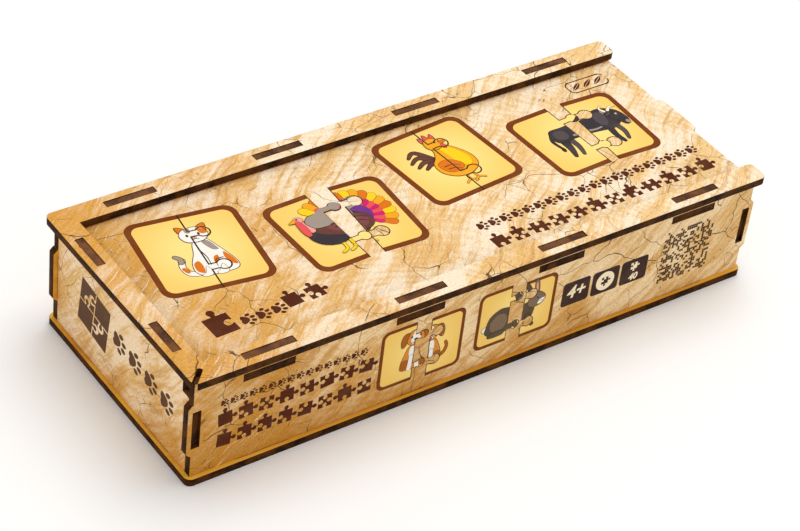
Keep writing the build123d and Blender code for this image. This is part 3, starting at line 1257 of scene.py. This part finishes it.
    def dog(self) -> list[InkShape]:
        """A seated dog with drooping ears."""
        haunches = both_sides((7.8, -5.0), (4.0, -5.4), (3.4, -10.0), (6.8, -11.6), (8.6, -8.6))
        forelegs = both_sides((2.0, -3.0), (2.2, -8.0), (2.6, -11.6))
        ears = both_sides((4.6, 14.2), (8.0, 14.0), (9.6, 9.6), (8.8, 5.4), (6.6, 6.4), (5.6, 10.6))
        return [
            limb(Ink.RUST, 1.4, 0.7, (6.0, -9.0), (10.6, -7.6), (12.4, -3.4), (11.4, 0.0)),
            patch(Ink.TAWNY, (-3.4, 5.0), (3.6, 5.0), (6.8, -0.6), (8.6, -7.4), (7.0, -11.8), (-7.0, -11.8),
                  (-8.6, -7.4), (-6.6, -0.6)),
            patch(Ink.WHITE, (-2.8, 4.0), (2.8, 4.0), (3.4, -2.4), (0.0, -6.6), (-3.4, -2.4), line=0.0),
            *(patch(Ink.RUST, *points, line=FINE_LINE) for points in haunches),
            *(limb(Ink.WHITE, 1.3, 1.5, *points, line=FINE_LINE) for points in forelegs),
            patch(Ink.TAWNY, (-6.2, 10.8), (-4.0, 14.6), (0.0, 15.6), (4.0, 14.6), (6.2, 10.8), (4.6, 6.6),
                  (0.0, 4.6), (-4.6, 6.6)),
            patch(Ink.WHITE, (-1.2, 14.6), (1.2, 14.6), (3.2, 8.4), (0.0, 5.2), (-3.2, 8.4), line=0.0),
            *(patch(Ink.RUST, *points) for points in ears),
            *(spot(Ink.LINE, x, 11.0, 0.6, 0.8) for x in (-2.9, 2.9)),
            spot(Ink.LINE, 0.0, 8.8, 1.3, 0.9),
            patch(Ink.ROSE, (-1.0, 6.8), (1.0, 6.8), (0.8, 4.8), (0.0, 4.2), (-0.8, 4.8), line=FINE_LINE),
            mark((-2.2, 7.2), (0.0, 7.2), (2.2, 7.2), start=0.16, end=0.16),
        ]

    def rabbit(self) -> list[InkShape]:
        """A crouching grey rabbit facing right."""
        return [
            spot(Ink.WHITE, -14.6, -6.0, 2.0, 1.8, line=OUTLINED),
            limb(Ink.PEAT, 1.5, 1.1, (5.4, 6.4), (3.4, 11.2), (1.0, 15.6)),
            limb(Ink.TAUPE, 1.7, 1.2, (7.4, 6.4), (7.6, 11.6), (7.0, 16.4)),
            limb(Ink.PINK, 0.8, 0.5, (7.4, 8.4), (7.5, 12.0), (7.1, 15.2), line=0.0),
            patch(Ink.PEAT, (-14.0, -4.6), (-12.0, 1.2), (-6.0, 4.6), (0.6, 3.8), (5.0, 4.4), (7.4, 0.4),
                  (6.4, -5.4), (3.2, -10.2), (-4.0, -11.4), (-11.0, -11.0), (-14.4, -8.4)),
            patch(Ink.TAUPE, (-11.6, -3.0), (-7.0, 1.6), (-1.6, -0.4), (-1.2, -6.6), (-5.4, -9.8),
                  (-10.4, -8.6), line=FINE_LINE),
            patch(Ink.PEAT, (-11.4, -10.0), (-4.4, -9.4), (-2.0, -11.4), (-4.0, -12.8), (-11.6, -12.6)),
            limb(Ink.PEAT, 1.5, 1.0, (3.6, -5.0), (5.0, -9.2), (7.4, -11.8)),
            patch(Ink.TAUPE, (2.8, 4.6), (5.0, 8.4), (9.4, 8.8), (13.0, 6.0), (13.8, 3.0), (11.6, 0.6),
                  (7.0, -0.4), (3.6, 1.2)),
            patch(Ink.WHITE, (10.4, 3.4), (13.2, 4.0), (13.6, 2.6), (11.4, 0.9), (9.0, 1.0), line=0.0),
            spot(Ink.LINE, 8.9, 5.6, 0.75, 0.9),
            spot(Ink.WHITE, 9.15, 5.9, 0.25, 0.28),
            spot(Ink.PINK, 13.5, 3.9, 0.6, 0.5, line=FINE_LINE),
            mark((13.0, 2.6), (11.8, 2.2), (11.0, 2.6), start=0.14, end=0.14),
        ]


@dataclass
class PictureCard:
    """A printed two-piece picture card, whole or with its halves drawn apart."""

    name: str
    picture: Picture
    face: FacePlane
    centre: Point
    body: Body
    slot: Slot = Slot.PRINTED
    width: float = 41.0
    height: float = 41.0
    radius: float = 4.6
    border: float = 2.1
    turn: float = 0.0
    twist: float = 0.0
    nudge: Point = (0.0, 0.0)
    gap: float = 0.0
    lift: float = 0.0
    scale: float = 1.0
    cut_line: float = 0.3
    knob: Knob = Knob(neck=3.0, head=2.6, reach=5.0)
    knob_height: float = 9.2
    frame_drawn: bool = True

    INNER_ROUNDING = 0.6
    GLOW_SHARE = 0.62
    CUT_MARGIN = -0.16

    def outline(self, margin: float) -> Outline:
        """The card's rounded outline, drawn in by a margin."""
        return rounded(self.width - 2 * margin, self.height - 2 * margin,
                       self.radius - margin * self.INNER_ROUNDING)

    def split(self, inset: float, side: int) -> Outline:
        """The line between the halves, from the top down.

        Args:
            inset: How far the half draws back from the line.
            side: -1 for the left half, which has the knobs, and +1 for the right.

        Returns:
            The line's points.
        """
        top = self.height / 2
        x = side * inset
        knob = Knob(self.knob.neck + 2 * side * inset, self.knob.head + side * inset, self.knob.reach - x)
        line = [(x, top)]
        for height in (self.knob_height, -self.knob_height):
            line += knob.path((x, height + self.knob.head), (x, height - self.knob.head), -1.0)
        return line + [(x, -top)]

    def half(self, side: int, inset: float, margin: float) -> Outline:
        """One half's outline, drawn in by a margin at the card's own edge.

        Args:
            side: -1 for the left half, +1 for the right.
            inset: How far the half draws back from the cut.
            margin: How far the outline stays inside the card's edge.

        Returns:
            The outline.
        """
        ring = self.outline(margin)
        arc = [point for point in ring if point[0] * side > 0]
        arc.sort(key=lambda point: math.atan2(point[1], point[0] * side))
        line = self.split(inset, side)
        line[0] = (line[0][0], self.height / 2 - margin)
        line[-1] = (line[-1][0], margin - self.height / 2)
        return line + arc

    def shapes(self) -> list[InkShape]:
        """The card's border and field, then its animal."""
        made = []
        if self.frame_drawn:
            made += [InkShape(Ink.BORDER, self.outline(0.0)), InkShape(Ink.FIELD, self.outline(self.border))]
        for shape in Menagerie().draw(self.picture):
            outline = moved(shape.outline, *self.nudge, self.scale)
            made.append(InkShape(shape.ink, outline, shape.line * self.scale))
        return made

    def build(self) -> None:
        """Print both halves."""
        middle = self.face.matrix() @ Vector((self.centre[0] * MM, self.centre[1] * MM, 0.0))
        reach = self.width * self.GLOW_SHARE * MM
        glow = FieldPrint(f"{self.name} field", centre=tuple(middle), reach=reach)
        for side, label in ((-1, "left"), (1, "right")):
            shift = Matrix.Translation((self.centre[0], self.centre[1], 0.0))
            spread = Matrix.Translation((side * self.gap / 2, side * self.lift / 2, 0.0))
            angle = self.turn - side * self.twist / 2
            place = shift @ Matrix.Rotation(math.radians(angle), 4, "Z") @ spread
            if self.frame_drawn:
                line = [InkShape(Ink.LINE, self.half(side, 0.0, self.CUT_MARGIN))]
                under = InkSheet(self.face)
                under.print_on(f"{self.name}_{label}_cut_line", line, self.body, place)
            sheet = InkSheet(self.face, first_layer=2, finishes={Ink.FIELD: glow})
            sheet.print_on(f"{self.name}_{label}_print", self.shapes(), self.body, place,
                           self.half(side, self.cut_line, 0.0))


# ------------------------------------------------------------------ ornaments
DRAWN_SIZE = 5.0


def paw(size: float) -> list[Outline]:
    """A paw print: its pad, then its toes."""
    pad = smooth(((-2.2, -1.6), (-1.2, 0.4), (0.0, 1.0), (1.2, 0.4), (2.2, -1.6), (1.0, -2.4), (0.0, -2.1),
                  (-1.0, -2.4)))
    toes = ((-2.4, 0.9, 18), (-0.95, 2.4, 6), (0.95, 2.4, -6), (2.4, 0.9, -18))
    parts = [pad, *(oval(x, y, 0.72, 1.05, turn, 12) for x, y, turn in toes)]
    return [moved(part, 0.0, 0.0, size / DRAWN_SIZE) for part in parts]


def leaf(size: float, steps: int = 10, vein: float = 0.1, width: float = 0.9,
         length: float = 6.6) -> list[Outline]:
    """A pointed leaf in two halves, parted along its vein."""
    edge = [(vein + width * math.sin(math.pi * step / steps), length * (step / steps - 0.5))
            for step in range(steps + 1)]
    return [moved(half, 0.0, 0.0, size / DRAWN_SIZE) for half in both_sides(*edge)]


@dataclass
class OrnamentRow:
    """A row of jigsaw pieces or paw prints."""

    name: str
    face: FacePlane
    body: Body
    start: Point
    length: float
    size: float
    count: int
    ink: Ink = Ink.TITLE
    jigsaws: bool = True
    seed: int = 3
    rise: float = 0.0

    PIECE_SWING = 7
    PAW_TURN = -90
    PAW_SWING = 14

    def build(self) -> None:
        """Print the row."""
        draw = random.Random(self.seed)
        shapes = []
        before = 0
        for index in range(self.count):
            share = index / max(1, self.count - 1)
            place = (self.start[0] + self.length * share, self.start[1] + self.rise * share)
            if self.jigsaws:
                after = draw.choice((-1, 1, 1))
                sides = (draw.choice((-1, 0)), after, draw.choice((-1, 1)), -before)
                turn = draw.uniform(-self.PIECE_SWING, self.PIECE_SWING)
                parts = [jigsaw(self.size, sides)]
                before = after
            else:
                turn = self.PAW_TURN + draw.uniform(-self.PAW_SWING, self.PAW_SWING)
                parts = paw(self.size)
            shapes += [InkShape(self.ink, moved(part, *place, 1.0, turn)) for part in parts]
        FlatPrint(self.name, self.face, self.body, shapes).build()


@dataclass
class FlatPrint:
    """Ink shapes that never overlap, all in one layer."""

    name: str
    face: FacePlane
    body: Body
    shapes: list[InkShape]
    level: int = 1

    def build(self) -> None:
        """Print the shapes."""
        inks = list(dict.fromkeys(shape.ink for shape in self.shapes))
        work = bmesh.new()
        for shape in self.shapes:
            add_prism(work, shape.outline, self.level, self.level + InkSheet.FILL, inks.index(shape.ink))
        made = taken(work, self.name)
        for ink in inks:
            made.materials.append(ink_finish(ink).material())
        made.transform(self.face.ink_matrix())
        settle(self.name, made, self.body)


@dataclass
class PrintedNumber:
    """A plain number printed on a face."""

    name: str
    text: str
    face: FacePlane
    body: Body
    centre: Point
    size: float
    ink: Ink = Ink.CREAM
    level: int = 4
    slant: float = 0.18
    weight: float = 0.16

    def build(self) -> None:
        """Print the number."""
        curve = bpy.data.curves.new(self.name, "FONT")
        curve.body = self.text
        curve.size = self.size
        curve.shear = self.slant
        curve.align_x, curve.align_y = "CENTER", "CENTER"
        curve.offset = self.weight
        curve.extrude = InkSheet.FILL / 2
        holder = put(self.name, curve)
        mesh = evaluated(holder)
        bpy.data.objects.remove(holder)
        mesh.materials.clear()
        mesh.materials.append(ink_finish(self.ink).material())
        mesh.transform(self.face.ink_matrix() @ Matrix.Translation((*self.centre, self.level)))
        settle(self.name, mesh, self.body)


# ---------------------------------------------------------------- ply sheets
@dataclass
class PlySheet:
    """A laser-cut sheet: printed or bare faces, charred cut edges, softened corners."""

    node: str
    body: Body
    slot: Slot
    normal: Vector
    face: Finish
    back: Finish = BARE
    edge: Finish = CHARRED
    # crown is the finish of edge faces that turn up; the walls give it the painted-lit copy of the charred
    # edge.
    crown: Finish = CHARRED
    corner: float = 0.14 * MM
    segments: int = 2

    WELD = 0.001 * MM
    LEVEL = math.radians(0.5)
    FOLD = math.radians(25)
    SHARP = math.radians(40)
    FLATNESS = 0.9

    def build(self) -> None:
        """Refine the sheet's solid and sort its faces into their finishes."""
        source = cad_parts[self.node]
        mesh = source.data.copy()
        mesh.transform(source.matrix_world)
        work = bmesh.new()
        work.from_mesh(mesh)
        bmesh.ops.remove_doubles(work, verts=work.verts, dist=self.WELD)
        bmesh.ops.dissolve_limit(work, angle_limit=self.LEVEL, verts=work.verts, edges=work.edges)
        rims = [edge for edge in work.edges if edge.is_manifold and edge.calc_face_angle(0.0) > self.FOLD]
        bmesh.ops.bevel(work, geom=rims, offset=self.corner, segments=self.segments, profile=0.5,
                        affect="EDGES", clamp_overlap=True)
        work.normal_update()
        for facet in work.faces:
            lean = facet.normal.dot(self.normal)
            facing_up = 3 if facet.normal.z > self.FLATNESS else 2
            facet.material_index = 0 if lean > self.FLATNESS else 1 if lean < -self.FLATNESS else facing_up
            facet.smooth = True
        mesh.materials.clear()
        for finish in (self.face, self.back, self.edge, self.crown):
            mesh.materials.append(finish.material())
        work.to_mesh(mesh)
        work.free()
        mesh.set_sharp_from_angle(angle=self.SHARP)
        settle(f"{self.node}_ply", mesh, self.body, [self.node])


UP = Vector((0, 0, 1))
FRONT = Vector((0, -1, 0))
BACK = Vector((0, 1, 0))
LEFT = Vector((-1, 0, 0))
RIGHT = Vector((1, 0, 0))


SMALL_CARD: dict[str, object] = {"radius": 2.8, "border": 1.2, "gap": 6.0, "knob": Knob(2.6, 2.0, 3.2)}


@dataclass
class Case:
    """The glued box: base, four walls, lid ledges and top frame."""

    mosaic_cells: int = 23
    mosaic_size: float = 23.0
    mosaic_fill: float = 0.52
    mosaic_seed: int = 11
    mosaic_centre: Point = (89.4, 21.2)
    cell_share: float = 0.94
    cell_rounding: float = 0.12
    tile_width: float = 12.2
    tile_height: float = 10.6
    tile_rounding: float = 1.3
    tile_centres: tuple[Point, Point, Point] = ((38.8, 21.2), (52.1, 21.1), (65.2, 21.0))
    disc_radius: float = 4.1
    block_centre: Point = (-18.0, 24.0)
    block_piece: float = 9.4
    block_gap: float = 0.5
    block_slack: float = 0.1
    block_turn: float = -8.0

    def build(self) -> None:
        """Build the sheets, then print them."""
        self.build_sheets()
        self.print_front()
        self.print_left()

    def build_sheets(self) -> None:
        """Build every glued sheet."""
        PlySheet("base_plate", Body.BOX, Slot.BARE, UP, BARE).build()
        for name, normal, finish in (
            ("front_wall", FRONT, FRONT_PRINT_SHADED), ("back_wall", BACK, BACK_PRINT_SHADED),
            ("left_end_wall", LEFT, LEFT_PRINT_SHADED), ("right_end_wall", RIGHT, RIGHT_PRINT_SHADED),
        ):
            # The walls' upturned tab ends take painted light, and their prints carry painted shade.
            PlySheet(name, Body.BOX, Slot.PRINTED, normal, finish, crown=CHARRED_PAINTED_LIT).build()
        PlySheet("top_frame", Body.BOX, Slot.PRINTED, UP, TOP_PRINT).build()
        for side in ("front", "back"):
            PlySheet(f"{side}_lid_ledge", Body.BOX, Slot.BARE, UP, BARE).build()

    def print_front(self) -> None:
        """Print the front wall: ornament rows, two cards, three tiles and a mosaic."""
        low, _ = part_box("front_wall")
        face = FacePlane(Vector((0, low[1], 0)), RIGHT, UP, FRONT)
        for item in (
            OrnamentRow("front_paws", face, Body.BOX, (-106.0, 30.4), 54.0, 2.6, 16, jigsaws=False,
                        rise=-0.4),
            OrnamentRow("front_pieces_upper", face, Body.BOX, (-105.2, 23.4), 55.0, 5.4, 8, seed=5),
            OrnamentRow("front_pieces_lower", face, Body.BOX, (-105.2, 14.2), 55.0, 5.4, 8, seed=9),
            PictureCard("dog_card", Picture.DOG, face, (-27.6, 21.4), Body.BOX, width=28.4, height=25.4,
                        lift=-0.8, scale=0.62, knob_height=6.4, **SMALL_CARD),
            PictureCard("rabbit_card", Picture.RABBIT, face, (12.3, 22.4), Body.BOX, width=27.6, height=24.6,
                        lift=-1.0, scale=0.68, knob_height=6.2, **SMALL_CARD),
        ):
            item.build()
        self.print_tiles(face)
        self.print_mosaic(face)

    def print_tiles(self, face: FacePlane) -> None:
        """Print the three dark tiles and what stands on them."""
        (age_x, age_y), (disc_x, disc_y), (count_x, count_y) = self.tile_centres
        outline = rounded(self.tile_width, self.tile_height, self.tile_rounding)
        small_piece = (1, 1, -1, -1)

        def lay(name: str, ink: Ink, outlines: list[Outline], level: int) -> None:
            """Print outlines in one ink."""
            FlatPrint(name, face, Body.BOX, [InkShape(ink, outline) for outline in outlines], level).build()

        lay("dark_tiles", Ink.TILE, [moved(outline, *centre) for centre in self.tile_centres], 1)
        PrintedNumber("age_number", "4+", face, Body.BOX, (age_x, age_y + 0.2), 7.6).build()
        lay("round_icon", Ink.CREAM, [oval(disc_x, disc_y, self.disc_radius, self.disc_radius)], 2)
        lay("round_icon_piece", Ink.TILE, [moved(jigsaw(3.0, small_piece), disc_x - 0.2, disc_y + 0.2)], 3)
        lay("count_icon", Ink.CREAM, [moved(jigsaw(2.9, small_piece), count_x - 0.2, count_y + 2.2)], 2)
        PrintedNumber("count_number", "40", face, Body.BOX, (count_x, count_y - 2.9), 3.9).build()

    def print_mosaic(self, face: FacePlane) -> None:
        """Print the speckled square: cells filled at random."""
        draw = random.Random(self.mosaic_seed)
        cell = self.mosaic_size / self.mosaic_cells
        half = (self.mosaic_cells - 1) / 2
        centre_x, centre_y = self.mosaic_centre
        speck = rounded(cell * self.cell_share, cell * self.cell_share, cell * self.cell_rounding, 2)
        cells = []
        for row in range(self.mosaic_cells):
            for column in range(self.mosaic_cells):
                if draw.random() < self.mosaic_fill:
                    x, y = (column - half) * cell, (row - half) * cell
                    cells.append(InkShape(Ink.MOSAIC, moved(speck, centre_x + x, centre_y + y)))
        FlatPrint("speckled_square", face, Body.BOX, cells).build()

    def print_left(self) -> None:
        """Print four jigsaw pieces and a row of paws on the left end wall."""
        low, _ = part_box("left_end_wall")
        face = FacePlane(Vector((low[0], 0, 0)), FRONT, UP, LEFT)
        pitch = self.block_piece + self.block_gap
        sides = {(0, 0): (0, 1, 1, 0), (1, 0): (0, 0, -1, -1), (0, 1): (-1, -1, 0, 0), (1, 1): (1, 0, 0, 1)}
        block = []
        for (column, row), kinds in sides.items():
            piece = jigsaw(self.block_piece, kinds, self.block_slack)
            outline = moved(piece, (column - 0.5) * pitch, (row - 0.5) * pitch)
            block.append(InkShape(Ink.FADED, moved(outline, *self.block_centre, 1.0, self.block_turn)))
        FlatPrint("left_pieces", face, Body.BOX, block).build()
        OrnamentRow("left_paws", face, Body.BOX, (-1.5, 24.6), 31.0, 7.0, 4, ink=Ink.FADED, jigsaws=False,
                    rise=-2.0).build()


@dataclass
class Lid:
    """The sliding lid and its prints."""

    badge_centre: Point = (100.4, 31.6)
    badge_width: float = 18.0
    badge_height: float = 6.6
    badge_rounding: float = 2.4
    badge_opening: int = 3
    rim_half_width: float = 0.28
    leaf_places: Triple = (-5.0, 0.0, 5.0)
    leaf_size: float = 5.0
    leaf_turn: float = -55

    def build(self) -> None:
        """Build the lid and print its cards and ornaments."""
        PlySheet("sliding_lid", Body.LID, Slot.PRINTED, UP, TOP_PRINT).build()
        _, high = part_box("sliding_lid")
        face = FacePlane(Vector((0, 0, high[2])), RIGHT, BACK, UP)
        for item in (
            PictureCard("cat_card", Picture.CAT, face, (-81.2, 11.8), Body.LID, turn=-8.0, scale=0.94,
                        nudge=(0.4, -1.6)),
            PictureCard("turkey_card", Picture.TURKEY, face, (-28.3, 2.2), Body.LID, width=39.4, height=39.2,
                        gap=7.5, turn=-0.5, twist=5.0, scale=0.94, nudge=(-1.6, 0.4), cut_line=0.42),
            PictureCard("rooster_card", Picture.ROOSTER, face, (24.1, 15.8), Body.LID, turn=5.0, scale=0.96,
                        nudge=(-0.6, -0.8)),
            PictureCard("bull_card", Picture.BULL, face, (79.3, 6.7), Body.LID, width=42.2, height=37.8,
                        gap=5.1, turn=0.5, twist=5.0, scale=0.86, nudge=(3.4, 1.0), cut_line=0.42),
            OrnamentRow("lid_paws", face, Body.LID, (12.6, -21.4), 96.0, 3.9, 20, jigsaws=False, rise=1.6),
            OrnamentRow("lid_pieces", face, Body.LID, (13.4, -31.2), 94.0, 5.6, 12, seed=7, rise=1.6),
            OrnamentRow("lid_emblem", face, Body.LID, (-95.0, -24.6), 0.0, 9.4, 1, seed=21),
            OrnamentRow("lid_emblem_paws", face, Body.LID, (-86.0, -26.2), 12.0, 4.6, 3, jigsaws=False),
            OrnamentRow("lid_emblem_pieces", face, Body.LID, (-67.4, -24.4), 9.0, 6.0, 2, seed=5),
        ):
            item.build()
        self.print_badge(face)

    def print_badge(self, face: FacePlane) -> None:
        """Print three leaves in a thin rounded frame."""
        rim = moved(rounded(self.badge_width, self.badge_height, self.badge_rounding), *self.badge_centre)
        line = stroke(rim[self.badge_opening:], self.rim_half_width, self.rim_half_width)
        FlatPrint("badge_frame", face, Body.LID, [InkShape(Ink.TITLE, line)]).build()
        centre_x, centre_y = self.badge_centre
        leaves = [InkShape(Ink.TITLE, moved(part, centre_x + x, centre_y, 1.0, self.leaf_turn))
                  for x in self.leaf_places for part in leaf(self.leaf_size)]
        FlatPrint("badge_leaves", face, Body.LID, leaves).build()


@dataclass
class CardStacks:
    """The forty loose halves of the twenty picture cards."""

    tops: tuple[tuple[int, Picture], ...] = ((7, Picture.DOG), (14, Picture.CAT), (20, Picture.ROOSTER))
    count: int = 20
    picture_scale: float = 1.62
    rounding: float = 6.0
    knob: Knob = Knob(neck=6.4, head=5.6, reach=8.2)
    knob_inset: float = 17.0

    def column(self, number: int) -> tuple[Vector, Vector]:
        """The lowest and highest corners of one whole card."""
        low_left, high_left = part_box(f"puzzle_{number:02d}_left")
        low_right, high_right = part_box(f"puzzle_{number:02d}_right")
        low = Vector([min(pair) for pair in zip(low_left, low_right)])
        high = Vector([max(pair) for pair in zip(high_left, high_right)])
        return low, high

    def build(self) -> None:
        """Build every half, then print an animal on the top card of each stack."""
        for number in range(1, self.count + 1):
            low, high = self.column(number)
            middle = (low + high) / 2
            size = (high - low) / 2
            name = f"Card print {middle.x / MM:.0f}"
            finish = CardPrint(name, centre=(middle.x, middle.y), half_size=(size.x, size.y))
            for side in ("left", "right"):
                node = f"puzzle_{number:02d}_{side}"
                PlySheet(node, Body.BOX, Slot.CARD, UP, finish, back=CARD_BACK).build()
        for number, picture in self.tops:
            self.print_top(number, picture)

    def print_top(self, number: int, picture: Picture) -> None:
        """Print an animal on both halves of a card.

        Args:
            number: The card's number.
            picture: Its animal.
        """
        low, high = self.column(number)
        middle = (low + high) / 2
        face = FacePlane(Vector((middle.x, middle.y, high.z)), RIGHT, BACK, UP)
        size = (high - low) / MM
        PictureCard(f"top_{picture.value}", picture, face, (0.0, 0.0), Body.BOX, Slot.CARD, width=size.x,
                    height=size.y, radius=self.rounding, scale=self.picture_scale, cut_line=0.1,
                    knob=self.knob, knob_height=size.y / 2 - self.knob_inset, frame_drawn=False).build()


@dataclass(frozen=True)
class Lamp:
    """A square lamp that points at the origin."""

    name: str
    place: Triple
    size: float
    power: float

    def build(self) -> None:
        """Hang the lamp."""
        lamp = bpy.data.lights.new(self.name, "AREA")
        lamp.energy, lamp.size = self.power, self.size
        holder = put(self.name, lamp)
        holder.location = self.place
        holder.rotation_euler = (-Vector(self.place)).to_track_quat("-Z", "Y").to_euler()


@dataclass
class Studio:
    """A pale floor, soft lights and the camera."""

    camera_place: Triple = (-0.4383, -0.5341, 0.5603)
    camera_turn: Triple = (51.435, -5.718, -34.571)
    lens: float = 111.3
    sensor: float = 36.0
    nearest: float = 0.01
    floor_size: float = 6.0
    paper: Colour = (0.96, 0.96, 0.96, 1.0)
    paper_roughness: float = 0.8
    surround: Colour = (1.0, 0.99, 0.97, 1.0)
    surround_strength: float = 0.68
    lamps: tuple[Lamp, ...] = (
        Lamp("key", (0.35, 0.15, 1.15), 0.9, 7.0), Lamp("fill", (-1.1, -0.3, 0.5), 0.9, 1.6),
        Lamp("side", (0.7, -0.55, 0.3), 0.5, 0.3),
    )

    def build(self) -> None:
        """Build the floor, the lights and the camera."""
        self.lay_floor()
        self.light()
        self.aim()

    def lay_floor(self) -> None:
        """Lay a plain pale floor."""
        half = self.floor_size / 2
        mesh = bpy.data.meshes.new("floor")
        corners = [(-half, -half, 0), (half, -half, 0), (half, half, 0), (-half, half, 0)]
        mesh.from_pydata(corners, [], [(0, 1, 2, 3)])
        paper = bpy.data.materials.new("Floor paper")
        paper.use_nodes = True
        surface = paper.node_tree.nodes["Principled BSDF"]
        surface.inputs["Base Color"].default_value = self.paper
        surface.inputs["Roughness"].default_value = self.paper_roughness
        mesh.materials.append(paper)
        put("floor", mesh)

    def light(self) -> None:
        """Set a white surround, a high key lamp, a fill from the left and a weak side lamp."""
        world = bpy.data.worlds.new("Studio")
        world.use_nodes = True
        ground = world.node_tree.nodes["Background"]
        ground.inputs["Color"].default_value = self.surround
        ground.inputs["Strength"].default_value = self.surround_strength
        bpy.context.scene.world = world
        for lamp in self.lamps:
            lamp.build()
        bpy.context.scene.view_settings.view_transform = "Standard"

    def aim(self) -> None:
        """Place the camera and make it the scene's own."""
        data = bpy.data.cameras.new("camera")
        data.lens = self.lens
        data.sensor_width = self.sensor
        data.clip_start = self.nearest
        camera = put("camera", data)
        camera.location = self.camera_place
        camera.rotation_euler = [math.radians(angle) for angle in self.camera_turn]
        bpy.context.scene.camera = camera


def main() -> None:
    """Build the case, the lid, the cards and the studio in order."""
    logging.basicConfig(level=logging.INFO, format="%(name)s: %(message)s")
    Case().build()
    Lid().build()
    CardStacks().build()
    Studio().build()


if __name__ == "__main__":
    main()
